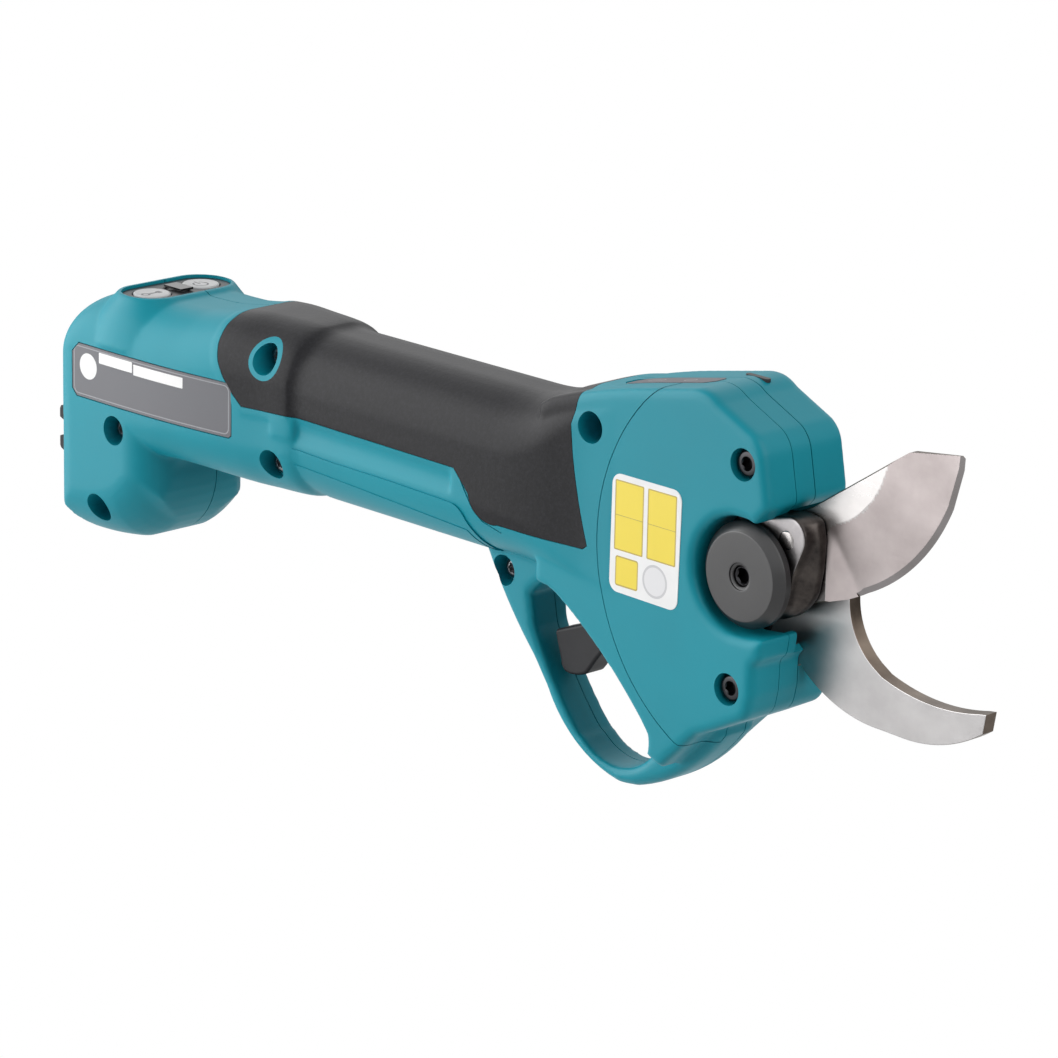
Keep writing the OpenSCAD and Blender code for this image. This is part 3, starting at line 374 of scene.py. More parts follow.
guard = prism(grown(guard_outer, 1.1), guard_right, guard_left, 3.8)
loop_hole = joined(prism(guard_hole, *through), prism(grown(guard_hole, 1.1), guard_left - 1.2,
                                                      guard_left + 9),
                   prism(grown(guard_hole, 2.2), guard_left - 0.5, guard_left + 9),
                   prism(grown(guard_hole, 1.1), guard_right - 13, guard_right + 1.2),
                   prism(grown(guard_hole, 2.2), guard_right - 13, guard_right + 0.5))

# the open mouth about the pivot, with a rolled rim
mouth_r = 19.0


def mouth(grow, y0, y1):
    r = mouth_r + grow
    upper, lower = math.radians(31), math.radians(6)
    spots = [(r * math.cos(a), r * math.sin(a)) for a in
             [lower - math.pi / 2 - k * (2 * math.pi - (math.pi - upper + lower)) / 40 for k in range(41)]]
    far = 40
    spots += [(-r * math.sin(upper) + far * math.cos(upper), r * math.cos(upper) + far * math.sin(upper)),
              (r * math.sin(lower) + far * math.cos(lower), -r * math.cos(lower) + far * math.sin(lower))]
    return prism(about_pivot(spots), y0, y1)


# the shallow channel along each side of the grip, below the rubber
channels = [loft([section(x, 8.6, z - 8.6, z + 8.6, 8.6, 8.6, y) for x, z in ((118.6, 5.5), (194.6, 4.1))])
            for y in (-32.3, 26.3)]

form = joined(core(), foot, panel_boss, head, guard)
form = without(form, *channels)
# a border stands 0.4 mm proud round the rubber, with a tab at the channel's rear end
rubber_outline = (arc((88.5, 62), (83.0, 27), (95.5, 9.5)) + [(113, 10), (196, 9.2)]
                  + arc((203, 2), (207, -4.5), (216, -5.8)) + [(252.5, -5.8)]
                  + arc((254.3, -4.5), (250.2, 10), (247.6, 24), 6) + [(246.6, 34), (248.5, 42), (250.2, 49),
                      (250.5, 62)])
border_room = [(60, -24), (116.5, -24), (116.5, 62), (60, 62)]
border = shared(core(-0.4, 70, 116.4), prism(grown(rubber_outline, 2.7), *through),
                prism(border_room, *through))
tab = shared(core(-0.5, 108, 121), prism([(109, 8.2), (117.6, 8.2), (119, 7.0), (119, 3.2), (117.6, 2),
                                          (109, 2)], *through))
form = joined(form, border, tab)
form = without(form, loop_hole, mouth(0, -40, back_y - wall), mouth(0.9, -40, face_y + 1.3),
               mouth(1.8, -40, face_y + 0.6), mouth(-6, back_y - wall - 2, 30))
form = settle(form, ("REMESH", dict(mode="VOXEL", voxel_size=0.8)),
              ("SMOOTH", dict(factor=0.5, iterations=7)))


# ---- materials' helpers and the teal nylon ------------------------------------------------------
# Glass-filled polyamide, moulded in a spark-eroded tool: an even teal with a fine grain that
# breaks up highlights, and a soft sheen along rounded edges where hands have polished it.
def paint(hex_code):
    """An sRGB hex colour as linear RGBA."""
    parts = [int(hex_code[i:i + 2], 16) / 255 for i in (1, 3, 5)]
    return tuple(c / 12.92 if c <= 0.04045 else ((c + 0.055) / 1.055) ** 2.4 for c in parts) + (1.0,)


def add(tree, kind, settings=None, links=None):
    """A node with its settings (by attribute or socket) and links (socket from another node's socket)."""
    node = tree.nodes.new("ShaderNode" + kind)
    for key, value in (settings or {}).items():
        if isinstance(key, str) and hasattr(node, key):
            setattr(node, key, value)
        else:
            node.inputs[key].default_value = value
    for key, source in (links or {}).items():
        tree.links.new(source, node.inputs[key])
    return node


def finish(name, **shader):
    """A material with its Principled shader and the piece's own coordinates."""
    material = bpy.data.materials.new(name)
    material.use_nodes = True
    tree = material.node_tree
    surface = tree.nodes["Principled BSDF"]
    for key, value in shader.items():
        surface.inputs[key.replace("_", " ").title().replace("Ior", "IOR")].default_value = value
    place = add(tree, "TexCoord").outputs["Object"]
    return material, tree, surface, place


def ramp(tree, source, *stops):
    """A colour or grey ramp: stops are (position, value or hex)."""
    node = add(tree, "ValToRGB", links={0: source})
    while len(node.color_ramp.elements) < len(stops):
        node.color_ramp.elements.new(0.5)
    for element, (position, value) in zip(node.color_ramp.elements, stops):
        element.position = position
        element.color = paint(value) if isinstance(value, str) else (value, value, value, 1)
    return node.outputs[0]


def grained(tree, surface, place, size_mm, depth_mm, strength=1.0, detail=2.0):
    """A fine grain in the surface: noise of a real size and depth, as bump."""
    noise = add(tree, "TexNoise", {"Scale": 1000 / size_mm, "Detail": detail}, {"Vector": place})
    bump = add(tree, "Bump", {"Strength": strength, "Distance": depth_mm / 1000},
               {"Height": noise.outputs[0]})
    tree.links.new(bump.outputs[0], surface.inputs["Normal"])


def moulded_nylon():
    material, tree, surface, place = finish("moulded_teal_nylon", roughness=0.42, specular_ior_level=0.26)
    # the eroded grain is about 0.2 mm; it is drawn at 0.9 mm, the finest that shows at this distance
    grained(tree, surface, place, 0.9, 0.02, 0.6)
    shade = add(tree, "TexNoise", {"Scale": 1000 / 55, "Detail": 3.0}, {"Vector": place})
    colour = ramp(tree, shade.outputs[0], (0.3, "#08899A"), (0.7, "#0B90A1"))
    tree.links.new(colour, surface.inputs["Base Color"])
    gloss = ramp(tree, shade.outputs[0], (0.2, 0.40), (0.8, 0.47))
    tree.links.new(gloss, surface.inputs["Roughness"])
    return material


teal = moulded_nylon()


def piece(name, mesh, material, body, slot, *nodes, sharp=32):
    """A finished piece: its mesh brought from millimetres to metres, shaded, and set to ride on its body."""
    mesh.name = name
    mesh.transform(Matrix.Scale(0.001, 4))
    made = bpy.data.objects.new(name, mesh)
    bpy.context.scene.collection.objects.link(made)
    mesh.materials.clear()
    mesh.materials.append(material)
    mesh.shade_smooth()
    mesh.set_sharp_from_angle(angle=math.radians(sharp))
    # large flat faces keep their own direction right up to a small rounded edge
    even = made.modifiers.new("even_faces", "WEIGHTED_NORMAL")
    even.keep_sharp = True
    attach(made, body)
    if nodes:
        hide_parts(*nodes)
    return made


# ---- rubber of the grip ------------------------------------------------------------------------
# A soft black thermoplastic rubber is moulded over both halves, 1.5 mm thick, from the collar to
# the hump. It leaves teal rings free round the screw wells, and it meets the nylon in a fine line.
wells = [(33, -11.4), (22.9, -41.5), (104.5, 27), (108, -8.6), (254.7, 34.3), (206.2, -25.6)]
rings = [rod(*wells[2], 7.0, -60, 0, 64), rod(*wells[4], 7.6, -60, 0, 64)]


def overmoulded_rubber():
    material, tree, surface, place = finish("overmoulded_black_rubber", roughness=0.42,
                                            specular_ior_level=0.15,
                                             sheen_weight=0.12, sheen_roughness=0.35)
    # the rubber's sparkle comes from a coarse eroded texture of about 0.3 mm, drawn at 1.1 mm
    grained(tree, surface, place, 1.1, 0.05, 0.9, 4.0)
    shade = add(tree, "TexNoise", {"Scale": 1000 / 1.6, "Detail": 6.0, "Roughness": 0.8}, {"Vector": place})
    colour = ramp(tree, shade.outputs[0], (0.35, "#121215"), (0.5, "#18181B"), (0.7, "#232327"))
    tree.links.new(colour, surface.inputs["Base Color"])
    return material


rubber_skin = overmoulded_rubber()
rubber = shared(form, prism(rubber_outline, *through))
rubber = without(rubber, core(rubber_t), *[r.copy() for r in rings])
grip_room = [(60, -60), (280, -60), (280, 70), (60, 70)]
right_rubber, left_rubber = (shared(rubber, prism(grip_room, *depths)) for depths in ((-60, -0.005),
    (0.005, 60)))
piece("grip_rubber_right_skin", right_rubber, rubber_skin, "tool", "black_rubber", "grip_rubber_right")
piece("grip_rubber_left_skin", left_rubber, rubber_skin, "tool", "black_rubber", "grip_rubber_left")

# ---- housing halves and gear cover --------------------------------------------------------------
# Two nylon half shells, 2.5 mm thick and screwed together from the right, and the gear cover that
# closes the head's right side. The shells are hollow for the motor, the gears and the wiring.
well_r, boss_r = 5.2, 6.8
seats = [-25.9, -11.0, -17.4, -19.3, -11.0, -5.0]
bolts = [(320.3, 36.2), (316.5, -36.6)]
bolt_seat = face_y + 6.4
trigger_mid, trigger_w = -2.75, 9.0
trigger_at = (261.0, -26.0)
seam = about_pivot(arc((-24, 60), (-60, -4), (-23, -60), 40)) + [(345, -60), (345, 60)]
all_round = [(-20, -120), (420, -120), (420, 90), (-20, 90)]
right_block, left_block = prism(all_round, -70, -split_gap), prism(all_round, split_gap, 70)


def hollow():
    """The room inside both halves."""
    slot = [(x + trigger_at[0], z + trigger_at[1]) for x,
            z in ((-20, 8), (8, 8), (8, -12), (-24, -34), (-34, -16))]
    return [
        core(4.0, 5.0, 256.0),
        loft([section(x, 16.4, 8.5 - 16.4, 8.5 + 16.4, 16.4, 16.4) for x in (110, 262)]),
        loft([section(x, 25.5, -47.5, 4, 6, 14) for x in (10.5, 30)]),
        without(prism(grown(head_outline, -2.5), -19, 13), mouth(2.5, -40, cover_y)),
        prism(slot, trigger_mid - 5.1, trigger_mid + 5.1),
        loft([section(x, 23, -40, 14, 3, 3) for x in (-2, 14.5)]),
        loft([stadium(7.2, z) for z in (12, 36.5)]), loft([stadium(10.55, z) for z in (32.6, 40)])]


def raised_panels():
    """Two thin steps that run along the grip's lower side."""
    upper = (arc((127, -21), (119, -9), (117.3, -2.2), 6) + arc((117.5, -1.3), (118, -0.9), (119, -0.9), 3)
             + [(136.5, -1.6), (165.9, -1.8), (193, -2.6)] + arc((195.5, -2.7), (199, -4.3), (201, -7.5), 5)
             + [(204.4, -14), (208, -22)])
    lower = arc((129, -21), (122.5, -13), (119, -6.3), 4) + [(145, -7.7), (173.3, -9.5), (200, -11.4),
        (206, -22)]
    return [shared(core(-0.5, 112, 212), prism(upper, *through)),
            shared(core(-0.72, 112, 212), prism(lower, *through))]


def shells():
    bed = without(prism(grown(rubber_outline, 0.22), *through), core(rubber_t), *[r.copy() for r in rings])
    plate_bed = without(prism(grown(plate_outline, 0.35), -60, -18), core(0.75, 0.0, 120))
    shell = without(joined(form, *raised_panels()), bed, plate_bed)
    shell = without(shell, *hollow())
    # a screw boss round each well, to the depth of the moulding
    bosses = [shared(rod(x, z, boss_r, -60, -split_gap), form) for x, z in wells]
    shell = joined(shell, *bosses, *[rod(x, z, 4.6, split_gap, 13) for x, z in wells[:5]])
    drills = [rod(x, z, well_r, -60, seat, 64) for (x, z), seat in zip(wells, seats)]
    drills += [rod(x, z, 2.05, -30, 10.5, 24) for x, z in wells]
    # a fine step that follows the rubber's front lower edge, 3 mm below it
    path = [(199.2, 6.6), (201.3, 3.2), (205.2, -2.2), (209.2, -6.0), (217.2, -8.3)]
    groove = prism(path + [(x - 0.45, z - 0.3) for x, z in reversed(path)], *through)
    groove = without(groove, core(0.35, 190, 230))
    return without(shell, *drills, groove)


plate_outline = [(11, -0.2), (11, 12.8), (14.5, 16.2), (88.5, 16.2), (90.5, 14.2), (90.5, -1.8), (89.5, -2.6),
                 (13.4, -2.6)]
shell = shells()

# the strip's bed in the head's upper edge, found on the photograph
strip_plan = [(257.5, -9), (259.5, -11), (293, -11), (295.5, -8.5), (295.5, -4), (293.5, -2), (260, -2),
              (257.5, -4.5)]
strip_skin = without(prism(grown(head_outline, 0.15), -13, 0), prism(grown(head_outline, -0.6), -14, 1))
strip_bed = shared(without(prism(grown(head_outline, 2), -13, 0), prism(grown(head_outline, -0.6), -14, 1)),
                   upright_prism(grown(strip_plan, 0.2), 40, 70))
cover_room = prism(grown(seam, 0.3), -60, cover_y + 0.25)
bolt_holes = [rod(x, z, 2.6, -30, 10, 24) for x, z in bolts]
cover = without(shared(form, prism(seam, -60, cover_y)),
                without(prism(grown(head_outline, -2.5), -19, 0), mouth(2.5, -40, 5)), strip_bed.copy())
cover = joined(cover, *[shared(rod(x, z, boss_r, -40, cover_y), form) for x, z in bolts])
cover = without(cover, *[rod(x, z, well_r, -60, bolt_seat, 64) for x, z in bolts],
                *[b.copy() for b in bolt_holes])
piece("gear_cover_shell", cover, teal, "tool", "teal_housing", "gear_cover")
# the lower lip leaves room for the heel of the closing blade
heel_room = prism(about_pivot([(-4, -14), (-1, -19.2), (3, -21), (7, -23), (11.5, -26.6), (16, -28),
                               (16, -14)]), -4.9, 0)
right_shell = without(shared(shell, right_block), cover_room, strip_bed, heel_room,
                      *[b.copy() for b in bolt_holes])
piece("right_shell", right_shell, teal, "tool", "teal_housing", "housing_right")
piece("left_shell", shared(shell, left_block), teal, "tool", "teal_housing", "housing_left")

# ---- dark plate on the rear ---------------------------------------------------------------------
# A polyester film with a dark grey print, bonded in a shallow bed on the rear right side. The real
# one carries maker's data; this one keeps only the plain light fields and its fine pale border.
def tinted(name, colour_a, colour_b, size_mm, depth_mm, **shader):
    """A material whose colour drifts between two close tones, with a fine grain of a real size."""
    material, tree, surface, place = finish(name, **shader)
    grained(tree, surface, place, size_mm, depth_mm, 0.6, 3.0)
    shade = add(tree, "TexNoise", {"Scale": 1000 / (size_mm * 14), "Detail": 4.0}, {"Vector": place})
    colour = ramp(tree, shade.outputs[0], (0.35, colour_a), (0.65, colour_b))
    tree.links.new(colour, surface.inputs["Base Color"])
    return material, tree, surface, place, colour


def printed(material_parts, fields, upright_plane=True):
    """Plain printed fields over the base: each (first, second, half, half, corner radius, colour) in mm."""
    material, tree, surface, place, colour = material_parts
    for a, b, half_a, half_b, corner, ink in fields:
        centre = (a, 0, b) if upright_plane else (a, b, 0)
        flat = (1000, 0, 1000) if upright_plane else (1000, 1000, 0)
        half = (half_a - corner, 0, half_b - corner) if upright_plane else (half_a - corner, half_b - corner,
            0)
        at = add(tree, "VectorMath", {"operation": "SUBTRACT", 1: [c / 1000 for c in centre]}, {0: place})
        at = add(tree, "VectorMath", {"operation": "MULTIPLY", 1: flat}, {0: at.outputs[0]})
        at = add(tree, "VectorMath", {"operation": "ABSOLUTE"}, {0: at.outputs[0]})
        at = add(tree, "VectorMath", {"operation": "SUBTRACT", 1: half}, {0: at.outputs[0]})
        at = add(tree, "VectorMath", {"operation": "MAXIMUM", 1: (0, 0, 0)}, {0: at.outputs[0]})
        at = add(tree, "VectorMath", {"operation": "LENGTH"}, {0: at.outputs[0]})
        inside = add(tree, "Math", {"operation": "LESS_THAN", 1: corner}, {0: at.outputs["Value"]})
        mix = add(tree, "Mix", {"data_type": "RGBA", 7: paint(ink)}, {0: inside.outputs[0], 6: colour})
        colour = mix.outputs[2]
    tree.links.new(colour, surface.inputs["Base Color"])
    return material


plate_film = printed(tinted("printed_polyester_film", "#55565C", "#5C5D63", 0.5, 0.004, roughness=0.38), [
    (50.75, 6.8, 38.9, 8.6, 2.2, "#8C8D92"), (50.75, 6.8, 38.5, 8.2, 1.9, "#57585E"),
    (19.6, 8.8, 4.6, 4.6, 4.59, "#E9E9E9"),
    (34.2, 13.0, 8.8, 1.9, 0.3, "#F0F0F0"), (56.0, 12.4, 12.3, 1.9, 0.3, "#F0F0F0")])
plate = without(shared(core(0.02, 0.0, 120.0), prism(plate_outline, -60, -18)), core(0.7, 0.0, 120.0))
piece("nameplate_film", plate, plate_film, "tool", "dark_plate", "nameplate")

# ---- side label -----------------------------------------------------------------------------------
# White vinyl film with rounded corners, stuck on the gear cover. Its place and colours follow the
# photograph: two columns of yellow fields and two lower marks, all left plain.
columns, rows, gold, yellow = (272.7, 287.0), (14.35, 3.25), "#B9A040", "#F0D83C"
label_fields = ([(x, 8.8, 6.3, 11.4, 0.5, gold) for x in columns]
                + [(x, z, 5.8, 5.45, 0.3, yellow) for x in columns for z in rows]
                + [(272.2, -9.3, 5.0, 4.9, 0.9, gold), (272.2, -9.3, 4.55, 4.45, 0.6, yellow),
                   (284.6, -9.3, 5.4, 5.4, 5.39, "#C9C9CC"), (284.6, -9.3, 4.6, 4.6, 4.59, "#E4E4E6")])
white_vinyl = printed(tinted("white_vinyl_film", "#EDEDED", "#F1F1F1", 0.6, 0.003, roughness=0.32),
                      label_fields)
label_outline = (arc((265, 18.5), (266.1, 21.1), (268.7, 22.2), 6) + arc((291.8, 22.2), (294.3, 21.1),
    (295.3, 18.5), 6)
                 + arc((294.6, -13.2), (293.5, -15.8), (291, -16.8), 6) + arc((268, -16.4), (265.5, -15.2),
                     (264.6, -12.8), 6))
piece("side_label_film", prism(label_outline, face_y - 0.2, face_y + 0.2, 0.06, 1), white_vinyl, "tool",
      "white_label", "side_sticker")

# ---- control panel ----------------------------------------------------------------------------------
# A glossy dark polycarbonate plate, snapped into the top of the boss, with a small display window
# between two round openings. Two light grey push buttons with a dished face stand in them.
panel_film = tinted("glossy_dark_polycarbonate", "#17181B", "#1E1F23", 0.7, 0.004, roughness=0.3,
                    specular_ior_level=0.2)[0]
plate = loft([stadium(r, z) for r, z in ((10.45, 32.6), (10.45, 34.05), (10.35, 34.22), (10.1, 34.3))])
plate = without(plate, *[turned([(0, 30), (6.8, 30), (6.8, 34.0), (7.15, 34.4), (7.15, 38), (0, 38)],
                                (panel_x, panel_y + s * button_gap, 0), 64, "Z") for s in (-1, 1)],
                upright_prism([(28.2, -6.5), (37.2, -6.5), (37.2, -0.7), (28.2, -0.7)], 33.9, 37))
piece("control_panel_plate", plate, panel_film, "tool", "black_plastic", "control_panel")
grey_key = printed(tinted("light_grey_acrylic_key", "#C4C5C7", "#CBCCCD", 0.8, 0.006, roughness=0.34), [
    (32.5, -14.6, 0.6, 3.0, 0.5, "#4A4B4F"), (32.5, -17.4, 1.7, 1.7, 1.69, "#4A4B4F"),
    (32.5, -17.4, 0.9, 0.9, 0.89, "#C7C8CA"), (32.5, -11.6, 1.3, 0.9, 0.5, "#4A4B4F"),
    (32.5, 7.4, 2.9, 2.9, 2.89, "#4A4B4F"), (32.5, 7.4, 2.2, 2.2, 2.19, "#C7C8CA"),
    (29.9, 7.4, 1.2, 1.0, 0.1, "#C7C8CA"), (30.6, 7.4, 1.7, 0.35, 0.3, "#4A4B4F")], upright_plane=False)
for name, y in (("power", panel_y + button_gap), ("mode", panel_y - button_gap)):
    key = turned([(0, 32.1), (6.5, 32.1), (6.5, 34.25), (6.4, 34.52), (6.15, 34.72), (5.8, 34.78),
                  (5.3, 34.72), (4.4, 34.56), (2.4, 34.46), (0, 34.44)], (panel_x, y, 0), 64, "Z")
    key = joined(key, turned([(0, 30.1), (1.5, 30.1), (1.5, 33), (0, 33)], (panel_x, y, 0), 24, "Z"))
    piece(name + "_key", key, grey_key, name, "button_grey", name + "_button", sharp=50)

# ---- status strip ---------------------------------------------------------------------------------
# A thin dark film window let into the head's upper edge, flush with the nylon, over the lamps that
# show the tool's state. Two printed rings mark where the lamps are.
strip_film = printed(tinted("grey_status_film", "#55545B", "#5B5A61", 0.5, 0.004, roughness=0.4), [
    (268.5, -6.5, 3.4, 1.5, 1.4, "#A9A9AE"), (268.5, -6.5, 3.0, 1.1, 1.0, "#58575E"),
    (283, -6.5, 2.3, 1.6, 1.5, "#A9A9AE"), (283, -6.5, 1.9, 1.2, 1.1, "#58575E")], upright_plane=False)
piece("status_strip_film", shared(strip_skin, upright_prism(strip_plan, 40, 70)), strip_film, "tool",
      "indicator_grey", "indicator_panel", "indicator_lens")

# ---- slot on the head ------------------------------------------------------------------------------
# A thin black pad on the left half's upper edge, beside the strip, where the photograph shows a dark slot. Its black
# is painted shade standing in for the slot's opening; no slot is cut.
shell_tree = BVHTree.FromPolygons([v.co.copy() for v in bpy.data.objects["left_shell"].data.vertices],
                                  [f.vertices[:] for f in bpy.data.objects["left_shell"].data.polygons])
slot_at = seen_on(photo["head_slot"], [shell_tree])[0] * 1000
slot_shade_pad = upright_prism([(slot_at.x + x, slot_at.y + y) for x, y in
                      arc((4.2, -1), (4.9, 0), (4.2, 1), 5) + arc((-4.2, 1), (-4.9, 0), (-4.2, -1), 5)],
                     slot_at.z - 1, slot_at.z + 0.12)
piece("head_slot_plug", slot_shade_pad, tinted("slot_shade_black", "#141416", "#1A1A1C", 0.8, 0.02,
                                     roughness=0.5)[0],
      "tool", "black_plastic")

# ---- housing screws -------------------------------------------------------------------------------
# Six thread-forming screws with star recesses, zinc-nickel plated dark, driven from the right into
# bosses of the left half. Their domed heads sit at the foot of deep wells.
dark_plating = tinted("dark_zinc_nickel_plating", "#77777A", "#8A8A8C", 0.5, 0.01, roughness=0.27,
                      metallic=1.0)[0]


def star_recess(x, z, r, y0, y1):
    lobes = [(x + q * math.cos(k * math.pi / 12), z + q * math.sin(k * math.pi / 12)) for k, q in
             enumerate([r, 0.93 * r, 0.74 * r, 0.93 * r] * 6)]
    return prism(lobes, y0, y1)


screws = []
for (x, z), seat, tip in zip(wells, seats, (10, 10, 10, 10, 10, 4)):
    head = turned([(0, seat - 2.6), (2.3, seat - 2.5), (3.2, seat - 2.15), (3.65, seat - 1.6),
                   (3.8, seat - 1.0), (3.8, seat), (1.95, seat), (1.95, tip - 0.6), (0, tip)],
                  (x, 0, z), 40)
    screws.append(without(head, star_recess(x, z, 1.95, seat - 4, seat - 1.0)))
piece("housing_screw_set", joined(*screws), dark_plating, "tool", "dark_screw", "housing_screws")

# ---- cover bolts ------------------------------------------------------------------------------------
# Two M5 socket-head bolts, black-oxided, that clamp the gear cover. Turned heads with a rounded
# upper edge and a chamfered hexagon socket.
black_oxide = tinted("black_oxide_steel", "#2E2E30", "#39393B", 0.6, 0.01, roughness=0.28, metallic=1.0)[0]


def hexagon(x, z, half, y0, y1):
    ring = [(x + half / math.cos(math.pi / 6) * math.cos(math.radians(60 * k + 15)),
             z + half / math.cos(math.pi / 6) * math.sin(math.radians(60 * k + 15))) for k in range(6)]
    return prism(ring, y0, y1)


bolt_set = []
for x, z in bolts:
    top = bolt_seat - 4.6
    head = turned([(0, top), (3.35, top), (3.85, top + 0.12), (4.2, top + 0.45), (4.3, top + 0.9),
                   (4.3, bolt_seat), (2.45, bolt_seat), (2.45, 8.6), (0, 9.0)], (x, 0, z), 48)
    head = without(head, hexagon(x, z, 2.0, top - 2, top + 2.6),
                   turned([(0, top - 1), (3.0, top - 1), (2.0, top + 0.55), (0, top + 0.55)], (x, 0, z), 40))
    bolt_set.append(head)
piece("cover_bolt_set", joined(*bolt_set), black_oxide, "tool", "dark_screw", "cover_bolts")

# ---- pivot cap ----------------------------------------------------------------------------------------
# A turned and black-anodised cap that keeps the pivot bolt in place: flat face, wide chamfer to the
# rim, a raised ring round a hexagon socket, and faint lathe grooves.
def turned_black():
    material, tree, surface, place = finish("black_anodised_turned_face", roughness=0.36, metallic=0.0,
                                            specular_ior_level=0.6)
    centre = add(tree, "VectorMath", {"operation": "SUBTRACT", 1: (pivot.x / 1000, 0, 0)}, {0: place})
    flat = add(tree, "VectorMath", {"operation": "MULTIPLY", 1: (1, 0, 1)}, {0: centre.outputs[0]})
    reach = add(tree, "VectorMath", {"operation": "LENGTH"}, {0: flat.outputs[0]})
    # the lathe's feed is about 0.15 mm a turn; its grooves are drawn 0.7 mm apart so that they show
    groove = add(tree, "Math", {"operation": "MULTIPLY", 1: 2 * math.pi / 0.0007},
                 {0: reach.outputs["Value"]})
    groove = add(tree, "Math", {"operation": "SINE"}, {0: groove.outputs[0]})
    bump = add(tree, "Bump", {"Strength": 0.18, "Distance": 0.00001}, {"Height": groove.outputs[0]})
    tree.links.new(bump.outputs[0], surface.inputs["Normal"])
    worn = add(tree, "TexNoise", {"Scale": 1000 / 9, "Detail": 5.0, "Roughness": 0.6}, {"Vector": place})
    tree.links.new(ramp(tree, worn.outputs[0], (0.35, "#111113"), (0.7, "#1A1A1C")),
                   surface.inputs["Base Color"])
    tree.links.new(ramp(tree, worn.outputs[0], (0.3, 0.33), (0.7, 0.42)), surface.inputs["Roughness"])
    return material


cap_black = turned_black()
cap_front = -20.0
cap = turned([(r, cap_front + deep) for r, deep in (
    (4.3, 0.5), (4.4, 0.12), (4.7, 0), (13.9, 0), (14.3, 0.1), (16.6, 2.3), (17.0, 2.9), (17.0, 5.0),
    (16.7, 5.4), (14.0, 6.4), (3.4, 6.4), (3.4, 0.9), (3.7, 0.6), (4.3, 0.5))], (pivot.x, 0, 0), 128)
piece("pivot_cap_turned", cap, cap_black, "tool", "black_cap", "pivot_cap")
bolt_head = turned([(0, cap_front + 1.4), (2.9, cap_front + 1.4), (3.4, cap_front + 1.75),
                    (3.4, cap_front + 6.5),
                    (6.0, cap_front + 6.5), (6.0, 13.0), (5.4, 13.6), (0, 13.6)], (pivot.x, 0, 0), 64)
bolt_head = without(bolt_head, hexagon(pivot.x, 0, 2.2, cap_front, cap_front + 5),
                    turned([(0, cap_front + 1), (2.9, cap_front + 1.2), (2.2, cap_front + 2.1),
                            (0, cap_front + 2.1)],
                           (pivot.x, 0, 0), 48))
piece("pivot_bolt_turned", bolt_head, black_oxide, "tool", "plain_steel", "pivot_bolt")

# ---- hub of the cutting blade ----------------------------------------------------------------------
# A dark forged lobe that joins the blade to its toothed sector. Its face is ground, its sides keep
# the forging skin, and it spreads in a step to the plate of the blade. A bright pin locks the two.
def forged(name, colour_a, colour_b, rough_a, rough_b):
    material, tree, surface, place = finish(name, metallic=1.0)
    grained(tree, surface, place, 1.4, 0.05, 0.8, 6.0)
    patches = add(tree, "TexNoise", {"Scale": 1000 / 7, "Detail": 6.0, "Roughness": 0.65}, {"Vector": place})
    tree.links.new(ramp(tree, patches.outputs[0], (0.38, colour_a), (0.66, colour_b)),
                   surface.inputs["Base Color"])
    tree.links.new(ramp(tree, patches.outputs[0], (0.3, rough_a), (0.7, rough_b)),
                   surface.inputs["Roughness"])
    return material


forging_skin = forged("oiled_forging_skin", "#2E2B2A", "#4A4542", 0.28, 0.44)
ground_hub = forged("ground_hub_face", "#838081", "#929090", 0.32, 0.42)
hub_front, hub_back, bore_r = -13.3, -4.3, 8.0
hub_centre = Vector((pivot.x + 4, 3.0))
lobe_face = about_pivot(arc((-15.6, 0), (0, -15.6), (13.6, -7.5), 24) + [(15.3, -2), (16.0, 1.8), (18.0, 6.9)]
                        + arc((20.2, 12.0), (19.4, 18.4), (12.5, 20.8), 10) + [(5.7, 19.4), (0, 17.0)]
                        + arc((-4, 15.4), (-11.5, 11.2), (-15.4, 4.2), 8))
lobe_base = about_pivot(arc((-16.0, 0), (-10, -12.6), (0, -15.9), 10) + arc((6, -14.6), (14.8, -10.5),
    (19.9, -3.6), 8)
                        + [(21.4, 4.2), (21.9, 13.8)] + arc((20.6, 19.6), (16, 21.0), (11, 20.9), 6)
                        + [(4, 19.6), (-2, 17.0)] + arc((-4, 15.6), (-11.8, 11.4), (-15.8, 4.2), 8))


def around(outline, y, count=180, shrink=0.0):
    """The outline's ring about the hub's centre at a depth, one point for each bearing."""
    ring = []
    pairs = [(Vector(a) - hub_centre, Vector(b) - hub_centre) for a,
             b in zip(outline, outline[1:] + outline[:1])]
    for k in range(count):
        way = Vector((math.cos(2 * math.pi * k / count), math.sin(2 * math.pi * k / count)))
        reach = 0
        for a, b in pairs:
            side, span = b - a, way.cross(b - a)
            if abs(span) > 1e-9:
                t, u = a.cross(side) / span, a.cross(way) / span
                if t > 0 and -1e-6 <= u <= 1 + 1e-6:
                    reach = max(reach, t)
        ring.append(tuple(hub_centre + way * (reach - shrink)))
    return [(x, y, z) for x, z in ring]


def between(outline_a, outline_b, y, t, shrink=0.0):
    """A ring part of the way from one outline to the other."""
    return [tuple(Vector(p).lerp(Vector(q), t))
            for p, q in zip(around(outline_a, y, shrink=shrink), around(outline_b, y, shrink=shrink))]


